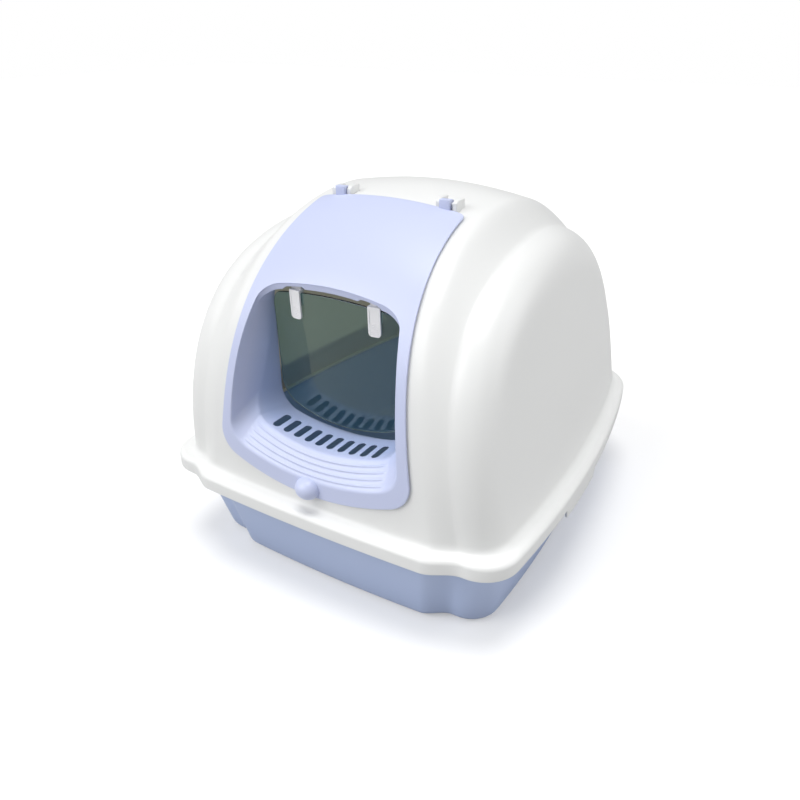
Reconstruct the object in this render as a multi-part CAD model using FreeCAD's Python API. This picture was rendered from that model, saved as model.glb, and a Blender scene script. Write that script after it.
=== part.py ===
import FreeCAD, Part
import math
import os

# Covered litter box: a tray, a hood that lifts off it, a cover that flips up on the
# hood and a clear flap that swings in the cover. Millimetres, +Z up, the front towards
# -Y, the origin on the floor under the middle of the box.

Vec = FreeCAD.Vector
X_AXIS = Vec(1, 0, 0)
Y_AXIS = Vec(0, 1, 0)
Z_AXIS = Vec(0, 0, 1)

# Driving sizes of the rim, which is the widest level of the box.
rim_width = 400.0
rim_depth = 478.0
rim_low = 90.0
skirt_height = 16.0
rim_top = rim_low + skirt_height
ledge = 15.0
side_bow = 1300.0
widest_share = 0.33
front_corner = 36.0
back_corner = 62.0
ledge_round = 5.0

# The hood's wall, its arch from front to back and the raised band along its middle.
hood_wall = 2.6
arch_base = 60.0
arch_rise = 303.0
crest_share = 0.455
front_fullness = (2.02, 3.83)
back_fullness = (2.0, 2.1)
side_draft = 0.146
border_round = 34.0
band_half_low = 122.0
band_narrowing = 0.1428
band_step_run = 36.0
step_low = 14.0
step_dip = 38.0
step_curve = 56.0
crown_low = 3.0
crown_high = 8.0
lobe_lift = 0.12

# The front cover: outline seen from the front, wall and gap to the hood.
cover_wall = 2.6
cover_gap = 0.4
cover_border = 8.3
cover_low = 121.0
cover_low_radius = 255.0
cover_corner = 26.0
cover_reach = 158.5
opening_margin = 6.0

# The recess in the cover: the crease line lies on a leaning plane, the back edge on an upright one.
recess_lean = 0.2385
crease_low = 161.0
crease_setback = 27.5
crease_radius = 250.0
recess_half = 111.8
recess_narrowing = 0.1325
recess_top = 302.0
recess_top_radius = 300.0
recess_corner = 26.0
mouth_reach = 26.0
back_half = 75.0
back_top = 303.0
back_corner_high = 12.0
slot_count = 10
slot_pitch = 12.5
slot_width = 5.2
slot_length = 20.0
slot_share = 0.455
rib_count = 4
rib_pitch = 4.6
rib_width = 1.3
rib_height = 0.8
rib_low = 142.5
rib_half = 66.0

# The cover's hinge: two knuckles between pairs of lugs, each on its own pin.
hinge_x = 56.4
hinge_setback = 3.5
hinge_clearance = 0.5
knuckle_width = 10.4
knuckle_radius = 4.4
knuckle_front = 5.0
lug_width = 4.4
lug_depth = 12.0
lug_radius = 3.1
hinge_gap = 0.4
hinge_pin_radius = 1.6
running_gap = 0.05

# The knob on the cover's lower edge.
knob_radius = 11.5
knob_height = 10.0
knob_z = 131.0
knob_peg_radius = 3.0
knob_peg_length = 6.0

# The swinging flap, its two clips and their pivots under the cover's top edge.
flap_half = 68.5
flap_thickness = 2.4
flap_bow = 400.0
flap_reach = 6.5
flap_top = 297.0
flap_top_radius = 296.0
flap_low = 167.5
flap_low_radius = 185.0
flap_corner_low = 24.0
flap_corner_high = 14.0
pivot_z = 303.5
pivot_cover = 11.6
pivot_back = 5.0
pivot_radius = 1.6
hub_radius = 2.8
pivot_half_length = 10.0
clip_x = 42.3
clip_width = 12.0
clip_leaf = 1.9
clip_drop = 33.0
clip_back_drop = 20.0
clip_end_round = 3.5
clip_rim = 0.5
clip_rim_width = 1.6
clip_rib_count = 6
clip_rib_pitch = 1.7
boss_half = 11.5
boss_top = 311.0
ear_radius = 3.0
notch_gap = 0.7

# The tray under the hood.
tray_wall = 2.8
tray_side_inset = 34.0
tray_end_inset = 40.0
tray_top_inset = 13.0
tray_corner = 30.0
tray_floor_round = 9.0
rest_gap = 0.3
skirt_wall = 2.6
flange_gap = 1.2
flange_height = 2.6
tab_length = 88.0
tab_drop = 10.0
tab_round = 4.0

# Values that follow from the sizes above.
half_width = rim_width / 2
half_depth = rim_depth / 2
widest_y = widest_share * rim_depth - half_depth
crest_y = crest_share * rim_depth - half_depth
cover_top_y = cover_reach - half_depth
crease_y = crease_setback - half_depth
hinge_y = cover_top_y + hinge_setback
arch_front = half_depth - ledge - crown_low
front_run = arch_front + crest_y
back_run = arch_front - crest_y
arch_top = arch_base + arch_rise
cover_half_low = band_half_low - cover_border


def height_share(height):
    """How far up the arch a height lies, from 0 at the rim to 1 at the crest."""
    return min(max((height - rim_top) / (arch_top - rim_top), 0.0), 1.0)


def band_half(height):
    """Half width of the raised band at a height."""
    return band_half_low - band_narrowing * (height - rim_top)


def across(reach, height):
    """Place across the width of a line that starts at reach on the rim and leans in with the band."""
    if abs(reach) <= band_half_low:
        return reach * band_half(height) / band_half_low
    return math.copysign(band_half(height) + abs(reach) - band_half_low, reach)


def reach_of(x, height):
    """Start on the rim of the line that passes a place on the band at a height."""
    return x * band_half_low / band_half(height)


def standing(reach, height):
    """How far the surface stands out of the arch: crowned on the band, stepped back beside it."""
    share = height_share(height)
    beyond = abs(reach) - band_half_low
    if beyond <= 0:
        crown = crown_low + (crown_high - crown_low) * share
        return crown * (1 - (reach / band_half_low) ** 2)
    step = step_low + share * (step_curve * share - step_dip)
    fall = (1 - math.cos(math.pi * min(beyond / band_step_run, 1.0))) / 2
    return lobe_lift * share * max(beyond - band_step_run, 0.0) - step * fall


def arch_point(angle, reach, grow):
    """Point of the hood's skin: angle runs from the front foot over the crest to the back foot."""
    along = math.cos(angle)
    up = max(math.sin(angle), 0.0)
    run = front_run if along > 0 else back_run
    wide, tall = front_fullness if along > 0 else back_fullness
    low, high = 0.0, 2.0
    for _ in range(60):
        size = (low + high) / 2
        if (size * abs(along)) ** wide + (size * up) ** tall > 1:
            high = size
        else:
            low = size
    y = crest_y - size * along * run
    z = arch_base + size * up * arch_rise
    lean_y = -math.copysign(wide * (size * abs(along)) ** (wide - 1) / run, along)
    lean_z = tall * (size * up) ** (tall - 1) / arch_rise
    length = math.hypot(lean_y, lean_z)
    out = standing(reach, z) + grow
    z += lean_z / length * out
    return Vec(across(reach, z), y + lean_y / length * out, z)


def arch_place(reach, grow, is_below):
    """Point of the front half of the skin at the height or depth where is_below(point) stops holding."""
    low, high = 0.0, math.pi / 2
    for _ in range(60):
        angle = (low + high) / 2
        point = arch_point(angle, reach, grow)
        if is_below(point):
            low = angle
        else:
            high = angle
    return point


cover_face = cover_gap + cover_wall
knuckle_reach = reach_of(hinge_x - knuckle_width / 2, arch_top)
hinge_z = arch_place(knuckle_reach, 0.0, lambda point: point.y < hinge_y).z + knuckle_radius + hinge_clearance
clip_reach = reach_of(clip_x, pivot_z)
pivot_y = arch_place(clip_reach, cover_face, lambda point: point.z < pivot_z).y + pivot_cover
recess_back_y = pivot_y + pivot_back
slot_y = crease_y + slot_share * (recess_back_y - crease_y)
flap_front_y = pivot_y - flap_reach


def reaches():
    """Places across the rim where the arch is drawn, evenly from left to right."""
    steps = 40
    far = band_half_low + 115.0
    return [far * (2 * i / steps - 1) for i in range(steps + 1)]


def arch_solid(grow):
    """The arch carried across the whole width as one smooth skin, standing out by grow, and closed below."""
    steps = 32
    grid = [[arch_point(math.pi * i / steps, reach, grow) for i in range(steps + 1)] for reach in reaches()]
    skin = Part.BSplineSurface()
    skin.interpolate(grid)
    skin = skin.toShape()
    ends = [edge for edge in skin.Edges if abs(edge.CenterOfMass.x) > band_half_low]
    feet = [edge for edge in skin.Edges if abs(edge.CenterOfMass.x) < band_half_low]
    chords = [Part.makeLine(edge.Vertexes[0].Point, edge.Vertexes[-1].Point) for edge in ends]
    faces = [skin] + [Part.Face(Part.Wire([edge, chord])) for edge, chord in zip(ends, chords)]
    faces.append(Part.Face(Part.Wire(Part.__sortEdges__(feet + chords))))
    solid = Part.makeSolid(Part.makeShell(faces))
    if solid.Volume < 0:
        solid.reverse()
    return solid


def bowed_side(half, sign, y, z):
    """Point on a side wall that is widest at widest_y."""
    return Vec(sign * (half - side_bow + math.sqrt(side_bow ** 2 - (y - widest_y) ** 2)), y, z)


def side_block(inset):
    """Block between the two drafted, bowed side walls, pulled in by inset."""
    far = rim_depth * 0.7
    wires = []
    for z in (arch_base - 20.0, arch_top + 60.0):
        half = half_width - ledge - inset - side_draft * (z - rim_top)
        right = Part.Arc(*[bowed_side(half, 1, y, z) for y in (-far, 0, far)]).toShape()
        left = Part.Arc(*[bowed_side(half, -1, y, z) for y in (far, 0, -far)]).toShape()
        front = Part.makeLine(bowed_side(half, -1, -far, z), bowed_side(half, 1, -far, z))
        back = Part.makeLine(bowed_side(half, 1, far, z), bowed_side(half, -1, far, z))
        wires.append(Part.Wire([front, right, back, left]))
    return Part.makeLoft(wires, True, True)


def hood_form(inset):
    """Filled shape of the hood above the rim, pulled in by inset, with rounded side borders."""
    block = arch_solid(-inset).common(side_block(inset))
    border = [edge for edge in block.Edges if edge.Length > rim_depth and edge.CenterOfMass.z > rim_top]
    return block.makeFillet(border_round - inset, border)


def rim_corner(half, end, radius, sign):
    """Corner arc of the plan outline: its end on the front or back, its middle and its end on the side."""
    side_center = Vec(half - side_bow, widest_y, 0)
    x = half - radius
    for _ in range(4):
        y = sign * (end + standing(x * half_width / half, rim_top) - radius)
        x = side_center.x + math.sqrt((side_bow - radius) ** 2 - (y - widest_y) ** 2)
    heart = Vec(x, y, 0)
    to_end = Vec(0, sign, 0)
    to_side = (heart - side_center).normalize()
    to_middle = (to_end + to_side).normalize()
    return [heart + direction * radius for direction in (to_end, to_middle, to_side)]


def rim_outline(inset_side, inset_end, front_radius, back_radius, z):
    """Closed plan outline with bowed sides and stepped ends, pulled in at the sides and the ends."""
    half = half_width - inset_side
    end = half_depth - crown_low - inset_end
    front = rim_corner(half, end, front_radius, -1)
    back = rim_corner(half, end, back_radius, 1)

    def place(point, sign):
        return Vec(sign * point.x, point.y, z)

    def stepped_end(corner, sign):
        steps = 24
        points = []
        for i in range(steps + 1):
            x = corner.x * (2 * i / steps - 1)
            points.append(Vec(x, sign * (end + standing(x * half_width / half, rim_top)), z))
        points[0], points[-1] = place(corner, -1), place(corner, 1)
        curve = Part.BSplineCurve()
        curve.interpolate(points)
        return curve.toShape()

    def corner_arc(points, sign):
        return Part.Arc(*[place(point, sign) for point in points]).toShape()

    def side_arc(sign):
        return Part.Arc(place(front[2], sign), bowed_side(half, sign, 0, z), place(back[2], sign)).toShape()

    return Part.Wire([
        stepped_end(front[0], -1), corner_arc(front, 1), side_arc(1), corner_arc(back[::-1], 1),
        stepped_end(back[0], 1), corner_arc(back, -1), side_arc(-1), corner_arc(front[::-1], -1),
    ])


def rim_prism(inset, low, high):
    """Upright block with the rim's plan outline, pulled in by inset."""
    outline = rim_outline(inset, inset, front_corner - inset, back_corner - inset, low)
    return Part.Face(outline).extrude(Z_AXIS * (high - low))


def quarter_round(radius):
    """Steps of a quarter circle: how far in and how far up, from the upright side to the flat top."""
    steps = 4
    angles = [math.pi / 2 * i / steps for i in range(steps + 1)]
    return [(radius * (1 - math.cos(angle)), radius * math.sin(angle)) for angle in angles]


def rim_block(inset, low, high, radius):
    """Rim-shaped block with a rounded upper edge."""
    levels = [(0.0, low - high + radius)] + quarter_round(radius)
    wires = []
    for inwards, rise in levels:
        pull = inset + inwards
        wires.append(rim_outline(pull, pull, front_corner - pull, back_corner - pull, high - radius + rise))
    return Part.makeLoft(wires, True, True)


def basin_form(inset, low, high):
    """Tapered block of the tray: narrow and rounded at the floor, wide under the rim."""
    radius = tray_floor_round - 0.7 * inset
    levels = [(inwards, low + radius - drop) for inwards, drop in reversed(quarter_round(radius))]
    wires = []
    for inwards, z in levels + [(0.0, high)]:
        share = z / rim_top
        side = tray_side_inset + (tray_top_inset - tray_side_inset) * share + inset + inwards
        end = tray_end_inset + (tray_top_inset - tray_end_inset) * share + inset + inwards
        corner = tray_corner - inset - inwards
        wires.append(rim_outline(side, end, corner, corner, z))
    return Part.makeLoft(wires, True, True)


def shield_corner(half, narrowing, center, radius, corner, sign):
    """Corner arc between a leaning side and a wide arc: point on the arc, middle, point on the side."""
    slant = math.hypot(1, narrowing)
    start = half - corner * slant
    middle = start * narrowing + center
    spread = middle ** 2 - slant ** 2 * (start ** 2 + center ** 2 - (radius - corner) ** 2)
    z = (middle + sign * math.sqrt(spread)) / slant ** 2
    x = start - narrowing * z
    to_arc = Vec(x, 0, z - center).normalize()
    to_side = Vec(1, 0, narrowing).normalize()
    to_middle = (to_arc + to_side).normalize()
    heart = Vec(x, 0, z)
    return [heart + direction * corner for direction in (to_arc, to_middle, to_side)]


def shield(half, narrowing, low, low_radius, high, high_radius, low_corner, high_corner, depth_at):
    """Closed outline seen from the front: arcs below and above, leaning sides, round corners.

    depth_at gives the y of a height, so that the outline can lie on a leaning plane.
    """
    lower = shield_corner(half, narrowing, low + low_radius, low_radius, low_corner, -1)
    upper = shield_corner(half, narrowing, high - high_radius, high_radius, high_corner, 1)

    def place(point, sign):
        return Vec(sign * point.x, depth_at(point.z), point.z)

    def arc(points, sign):
        return Part.Arc(*[place(point, sign) for point in points]).toShape()

    def wide_arc(point, z, order):
        ends = [place(point, -order), Vec(0, depth_at(z), z), place(point, order)]
        return Part.Arc(*ends).toShape()

    right_side = Part.makeLine(place(lower[2], 1), place(upper[2], 1))
    left_side = Part.makeLine(place(upper[2], -1), place(lower[2], -1))
    return Part.Wire([
        wide_arc(lower[0], low, 1), arc(lower, 1), right_side, arc(upper[::-1], 1),
        wide_arc(upper[0], high, -1), arc(upper, -1), left_side, arc(lower[::-1], -1),
    ])


def front_prism(wire, depth):
    """Block that carries a front outline backwards by depth."""
    return Part.Face(wire).extrude(Y_AXIS * depth)


def box(x_range, y_range, z_range):
    """Box between two values on each axis."""
    low = Vec(x_range[0], y_range[0], z_range[0])
    return Part.makeBox(x_range[1] - x_range[0], y_range[1] - y_range[0], z_range[1] - z_range[0], low)


def rod_x(radius, low_x, high_x, y, z):
    """Round rod along the width."""
    return Part.makeCylinder(radius, high_x - low_x, Vec(low_x, y, z), X_AXIS)


def mirrored(shape):
    """Copy of a shape on the other side of the middle plane."""
    return shape.mirror(Vec(0, 0, 0), X_AXIS)


def lug_centers():
    """Middle of each right-hand hinge lug across the width."""
    off = (knuckle_width + lug_width) / 2 + hinge_gap
    return hinge_x - off, hinge_x + off


def make_tray():
    """Open basin with a flange that carries the hood."""
    top = rim_top - skirt_wall - rest_gap
    flange_low = top - flange_height
    flange = rim_prism(skirt_wall + flange_gap, flange_low, top)
    tray = basin_form(0.0, 0.0, top).fuse(flange)
    return tray.cut(basin_form(tray_wall, tray_wall, top + 1.0)).removeSplitter()


def make_skirt():
    """Ledge and hanging band round the hood's foot, deeper at a tab on each side."""
    skirt = rim_block(0.0, rim_low, rim_top, ledge_round)
    tabs = rim_prism(0.0, rim_low - tab_drop, rim_low + skirt_height / 2)
    keep = box((-rim_width, rim_width), (widest_y, widest_y + tab_length), (rim_low - tab_drop, rim_top))
    low_ends = [edge for edge in keep.Edges if edge.BoundBox.XLength > rim_width and edge.CenterOfMass.z < rim_low]
    skirt = skirt.fuse(tabs.common(keep.makeFillet(tab_round, low_ends)))
    return skirt.cut(rim_prism(skirt_wall, rim_low - tab_drop - 1, rim_top - skirt_wall))


def make_hinge_lugs():
    """Four lugs on the hood that hold the ends of the hinge pins, round at the front so that the cover clears them."""
    lugs = []
    for center in lug_centers():
        x_range = (center - lug_width / 2, center + lug_width / 2)
        low = arch_top - 25.0
        front = box(x_range, (hinge_y - lug_radius, hinge_y), (low, hinge_z))
        back = box(x_range, (hinge_y, hinge_y - lug_radius + lug_depth), (low, hinge_z + lug_radius))
        end = [edge for edge in back.Edges if edge.BoundBox.ZMin > hinge_z and edge.BoundBox.YMin > hinge_y + 1]
        eye = rod_x(lug_radius, x_range[0], x_range[1], hinge_y, hinge_z)
        lugs.append(back.makeFillet(lug_radius, end).fuse([front, eye]))
    return lugs + [mirrored(lug) for lug in lugs]


def make_hood():
    """Arched hood with its skirt, the opening behind the cover and the hinge lugs."""
    above = box((-rim_width, rim_width), (-rim_depth, rim_depth), (rim_top - skirt_wall, arch_top + 50.0))
    hood = hood_form(0.0).common(above).fuse(make_skirt())
    hood = hood.fuse(make_hinge_lugs())
    hood = hood.cut(hood_form(hood_wall))
    opening = shield(
        cover_half(opening_margin), band_narrowing, cover_low + opening_margin, cover_low_radius,
        recess_top + 26.0, recess_top_radius, cover_corner - opening_margin, cover_corner,
        lambda z: -rim_depth)
    hood = hood.cut(front_prism(opening, rim_depth - 70.0))
    for sign in (-1, 1):
        low, high = lug_centers()
        middle = sign * hinge_x
        span = (high - low + lug_width) / 2
        hood = hood.cut(rod_x(hinge_pin_radius + running_gap, middle - span + 1.2, middle + span - 1.2,
                              hinge_y, hinge_z))
    return hood


def cover_half(margin):
    """Half width of the cover's outline, drawn down to height zero and pulled in by margin."""
    return cover_half_low + band_narrowing * rim_top - margin


def recess_plane(offset):
    """Depth against height of the leaning plane of the crease, moved forwards by offset."""
    return lambda z: crease_y + recess_lean * (z - crease_low) - offset


def recess_form(grow):
    """Filled shape of the recess: a sloped mouth down to the crease, then a funnel to the back edge."""
    crease = shield(
        recess_half + grow, recess_narrowing, crease_low - grow, crease_radius, recess_top + grow,
        recess_top_radius, recess_corner + grow, recess_corner + grow, recess_plane(0.0))
    mouth = shield(
        recess_half + 7.0 + grow, recess_narrowing, 102.3 - grow, 190.0, recess_top + 14.0 + grow,
        recess_top_radius, recess_corner + 4.0 + grow, recess_corner + 4.0 + grow, recess_plane(mouth_reach))
    back = shield(
        back_half + grow, 0.0, crease_low - grow, crease_radius, back_top + grow,
        recess_top_radius, recess_corner + grow, back_corner_high + grow, lambda z: recess_back_y)
    return Part.makeLoft([mouth, crease], True, True).fuse(Part.makeLoft([crease, back], True, True))


def make_knuckles():
    """Two hinge knuckles that stand on the cover's top edge."""
    x_range = (hinge_x - knuckle_width / 2, hinge_x + knuckle_width / 2)
    barrel = rod_x(knuckle_radius, x_range[0], x_range[1], hinge_y, hinge_z)
    block = box(x_range, (hinge_y - knuckle_front, hinge_y), (hinge_z - knuckle_radius, hinge_z + knuckle_radius))
    root = box(x_range, (hinge_y - 14.0, hinge_y - 2.0), (hinge_z - 12.0, hinge_z))
    root = root.cut(arch_solid(cover_gap))
    bore = rod_x(hinge_pin_radius + running_gap, x_range[0] - 1, x_range[1] + 1, hinge_y, hinge_z)
    knuckle = barrel.fuse([block, root]).cut(bore)
    return [knuckle, mirrored(knuckle)]


def make_pivot_bosses():
    """Blocks behind the cover's upper lip that carry the flap's pivots."""
    x_range = (clip_x - boss_half, clip_x + boss_half)
    boss = box(x_range, (pivot_y - 14.0, recess_back_y + cover_wall), (pivot_z, boss_top))
    return [boss, mirrored(boss)]


def make_pivot_ears():
    """Round undersides of the pivot blocks, hanging a little into the recess."""
    ear = rod_x(ear_radius, clip_x - boss_half, clip_x + boss_half, pivot_y, pivot_z)
    return [ear, mirrored(ear)]


def make_pivot_cuts():
    """Bores for the pivots and the notches that the clips swing in."""
    reach = pivot_half_length + 0.4
    bore = rod_x(pivot_radius + running_gap, clip_x - reach, clip_x + reach, pivot_y, pivot_z)
    half = clip_width / 2 + notch_gap
    round_room = rod_x(hub_radius + notch_gap, clip_x - half, clip_x + half, pivot_y, pivot_z)
    swing_room = box((clip_x - half, clip_x + half), (pivot_y - 9.8, pivot_y + 9.8), (flap_top - 9.0, pivot_z))
    return [bore, round_room, swing_room] + [mirrored(cut) for cut in (bore, round_room, swing_room)]


def make_slots():
    """Row of round-ended drain slots through the recess floor."""
    slots = []
    straight = slot_length - slot_width
    for index in range(slot_count):
        x = (index - (slot_count - 1) / 2) * slot_pitch
        low = Vec(x, slot_y, crease_low - 10.0)
        slot = Part.makeBox(slot_width, straight, 30.0, low - Vec(slot_width / 2, straight / 2, 0))
        for sign in (-1, 1):
            end = Part.makeCylinder(slot_width / 2, 30.0, low + Y_AXIS * (sign * straight / 2))
            slot = slot.fuse(end)
        slots.append(slot)
    return slots


def make_grip_ribs():
    """Low curved ribs across the sloped apron below the recess floor."""
    skin = recess_form(0.0).cut(recess_form(-rib_height))
    heart_z = crease_low + crease_radius - 40.0
    center = Vec(0, -rim_depth, heart_z)
    window = box((-rib_half, rib_half), (-half_depth, crease_y), (cover_low, crease_low + 8.0))
    ribs = []
    for index in range(rib_count):
        radius = heart_z - rib_low - index * rib_pitch
        ring = Part.makeCylinder(radius, rim_depth, center, Y_AXIS)
        ring = ring.cut(Part.makeCylinder(radius - rib_width, rim_depth, center, Y_AXIS))
        ribs += skin.common(ring).common(window).Solids
    return ribs


def make_cover():
    """Curved cover panel with its recess, drain slots, grip ribs and hinge knuckles."""
    outline = shield(
        cover_half(0.0), band_narrowing, cover_low, cover_low_radius, arch_top + 40.0, 4 * rim_width,
        cover_corner, cover_corner, lambda z: -rim_depth)
    window = front_prism(outline, rim_depth + cover_top_y)
    outer = arch_solid(cover_face)
    panel = outer.cut(arch_solid(cover_gap)).common(window)
    inside = outer.common(window)
    tub = recess_form(cover_wall).common(inside)
    bosses = [boss.common(inside) for boss in make_pivot_bosses()]
    cover = panel.fuse([tub] + bosses + make_knuckles())
    cover = cover.cut(recess_form(0.0)).fuse([ear.common(inside) for ear in make_pivot_ears()])
    cover = cover.cut(make_pivot_cuts() + make_slots())
    cover = cover.cut(knob_peg(knob_peg_radius + running_gap))
    ribs = [rib.common(inside) for rib in make_grip_ribs()]
    return cover.fuse(ribs)


def make_hinge_pin():
    """Pin of the right-hand hinge, held between its two lugs."""
    low, high = lug_centers()
    return rod_x(hinge_pin_radius, low - lug_width / 2 + 1.6, high + lug_width / 2 - 1.6, hinge_y, hinge_z)


def cover_front_y(height):
    """Depth of the cover's outer face on the middle plane at a height."""
    return arch_place(0.0, cover_face, lambda point: point.z < height).y


def knob_peg(radius):
    """Peg of the knob, from inside its dome to behind the cover's wall."""
    start = Vec(0, cover_front_y(knob_z) - knob_height / 2, knob_z)
    return Part.makeCylinder(radius, knob_height / 2 + knob_peg_length, start, Y_AXIS)


def make_knob():
    """Domed knob on the cover's lower edge, cut off along the cover's leaning face, with a peg through its wall."""
    sphere_radius = (knob_radius ** 2 + knob_height ** 2) / (2 * knob_height)
    face = Vec(0, cover_front_y(knob_z) - running_gap, knob_z)
    dome = Part.makeSphere(sphere_radius, face + Y_AXIS * (sphere_radius - knob_height))
    top, foot = cover_front_y(knob_z + knob_radius), cover_front_y(knob_z - knob_radius)
    behind = box((-knob_radius - 1, knob_radius + 1), (face.y, face.y + 3 * knob_radius),
                 (knob_z - 3 * knob_radius, knob_z + 3 * knob_radius))
    behind.rotate(face, X_AXIS, -math.degrees(math.atan2(top - foot, 2 * knob_radius)))
    return dome.cut(behind).fuse(knob_peg(knob_peg_radius)).removeSplitter()


def flap_depth(x):
    """Depth of the flap's front face at a place across the width."""
    return flap_front_y + flap_bow - math.sqrt(flap_bow ** 2 - x ** 2)


def make_upright_flap():
    """Clear flap sheet, bowed forwards, before it is tilted to hang."""
    center = Vec(0, flap_front_y + flap_bow, 0)
    sheet = Part.makeCylinder(flap_bow, arch_top, center)
    sheet = sheet.cut(Part.makeCylinder(flap_bow - flap_thickness, arch_top, center))
    outline = shield(
        flap_half, 0.0, flap_low, flap_low_radius, flap_top, flap_top_radius,
        flap_corner_low, flap_corner_high, lambda z: flap_front_y - 20.0)
    return sheet.common(front_prism(outline, 60.0))


def make_upright_clip():
    """Right-hand clip: a leaf on each face of the flap, joined above it to the pivot."""
    gap = running_gap
    half = clip_width / 2
    back = flap_thickness + gap
    bridge_low = flap_top - (clip_x - half) ** 2 / (2 * flap_top_radius) + 0.3
    front_low = pivot_z - clip_drop
    leaf = box((-half, half), (-clip_leaf - gap, -gap), (front_low, bridge_low + 3.0))
    ends = [edge for edge in leaf.Edges if edge.BoundBox.YLength > 1 and edge.CenterOfMass.z < front_low + 0.1]
    leaf = leaf.makeFillet(clip_end_round, ends)
    inner = box((-half + clip_rim_width, half - clip_rim_width), (-clip_leaf - gap - 1, -clip_leaf - gap + clip_rim),
                (front_low + clip_rim_width, bridge_low))
    leaf = leaf.cut(inner)
    ribs = []
    for index in range(clip_rib_count):
        low = front_low + 2.6 + index * clip_rib_pitch
        ribs.append(box((-half + 1.0, half - 1.0), (-clip_leaf - gap, -gap - 0.5), (low, low + 0.8)))
    rear = box((-half, half), (back, back + clip_leaf), (pivot_z - clip_back_drop, bridge_low + 3.0))
    bridge = box((-half, half), (-clip_leaf - gap, back + clip_leaf), (bridge_low, bridge_low + 3.0))
    clip = leaf.fuse(ribs + [rear, bridge])
    clip.rotate(Vec(0, 0, 0), Z_AXIS, math.degrees(math.asin(clip_x / flap_bow)))
    clip.translate(Vec(clip_x, flap_depth(clip_x), 0))
    neck = box((clip_x - half + 1.0, clip_x + half - 1.0), (pivot_y - hub_radius, pivot_y + pivot_radius),
               (bridge_low + 0.5, pivot_z))
    hub = rod_x(hub_radius, clip_x - half, clip_x + half, pivot_y, pivot_z)
    pin = rod_x(pivot_radius, clip_x - pivot_half_length, clip_x + pivot_half_length, pivot_y, pivot_z)
    return clip.fuse([neck, hub, pin]).removeSplitter()


def hang(shapes):
    """Tilts the flap and its clips about the pivot until their weight hangs straight below it."""
    weight = sum(shape.Volume for shape in shapes)
    offset = sum((shape.CenterOfMass * shape.Volume for shape in shapes), Vec(0, 0, 0)) * (1 / weight)
    angle = math.degrees(math.atan2(pivot_y - offset.y, pivot_z - offset.z))
    for shape in shapes:
        shape.rotate(Vec(0, pivot_y, pivot_z), X_AXIS, angle)
    return shapes


def single(shape):
    """The one solid of a shape."""
    if len(shape.Solids) != 1:
        raise ValueError("expected one solid, found %d" % len(shape.Solids))
    return shape.Solids[0]


def build():
    """All pieces by node name."""
    pin = make_hinge_pin()
    flap = make_upright_flap()
    clip = make_upright_clip()
    flap, clip, other_clip = hang([single(flap), single(clip), single(mirrored(clip))])
    return {
        "litter_tray": make_tray(),
        "hood": make_hood(),
        "front_cover": make_cover(),
        "cover_knob": make_knob(),
        "hinge_pin_right": pin,
        "hinge_pin_left": mirrored(pin),
        "swing_flap": flap,
        "flap_clip_right": clip,
        "flap_clip_left": other_clip,
    }


os.makedirs("parts", exist_ok=True)
for node, shape in build().items():
    single(shape).exportStep("parts/" + node + ".step")
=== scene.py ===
"""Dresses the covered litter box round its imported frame: smooth shells, moulded plastics and a studio."""

import logging
import math
from collections.abc import Callable
from dataclasses import dataclass, field
from enum import Enum

import bmesh
import bpy
import numpy as np
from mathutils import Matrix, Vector


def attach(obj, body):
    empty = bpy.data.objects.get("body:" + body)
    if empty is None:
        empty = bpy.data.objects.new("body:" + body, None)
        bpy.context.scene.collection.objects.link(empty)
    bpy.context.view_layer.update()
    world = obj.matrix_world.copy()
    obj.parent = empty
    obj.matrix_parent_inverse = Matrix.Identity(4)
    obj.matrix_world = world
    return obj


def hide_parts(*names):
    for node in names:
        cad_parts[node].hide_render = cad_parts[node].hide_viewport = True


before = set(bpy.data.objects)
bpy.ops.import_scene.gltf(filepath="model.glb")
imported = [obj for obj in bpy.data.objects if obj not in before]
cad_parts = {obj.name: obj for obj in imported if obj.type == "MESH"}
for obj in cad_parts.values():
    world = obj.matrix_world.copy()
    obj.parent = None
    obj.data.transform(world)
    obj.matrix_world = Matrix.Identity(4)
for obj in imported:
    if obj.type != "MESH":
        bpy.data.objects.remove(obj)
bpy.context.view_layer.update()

log = logging.getLogger("litter_box")
# Point attribute that holds the share of painted shade in the cover's recess.
PAINTED_SHADE_ATTRIBUTE = "hollow"
SOFT_EDGE_ANGLE = math.radians(35)
SHARP_EDGE_ANGLE = math.radians(40)


class Body(Enum):
    """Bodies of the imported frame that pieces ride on."""

    TRAY = "tray"
    HOOD = "hood"
    COVER = "cover"
    FLAP = "flap"


class Slot(Enum):
    """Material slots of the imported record."""

    TRAY = "tray_blue"
    HOOD = "hood_white"
    COVER = "cover_blue"
    FLAP = "flap_smoke"


def grid_faces(rows: int, columns: int, close_rows: bool, close_columns: bool) -> np.ndarray:
    """Quads of a grid of points, row by row.

    Args:
        rows: number of rows of points.
        columns: number of points in a row.
        close_rows: whether the last row joins the first.
        close_columns: whether each row is a closed loop.

    Returns:
        Array of four point numbers per face.
    """
    row = np.arange(rows if close_rows else rows - 1)[:, None]
    column = np.arange(columns if close_columns else columns - 1)[None, :]
    next_row = (row + 1) % rows
    next_column = (column + 1) % columns
    corners = [row * columns + column, row * columns + next_column,
               next_row * columns + next_column, next_row * columns + column]
    return np.stack(np.broadcast_arrays(*corners), axis=-1).reshape(-1, 4)


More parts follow.
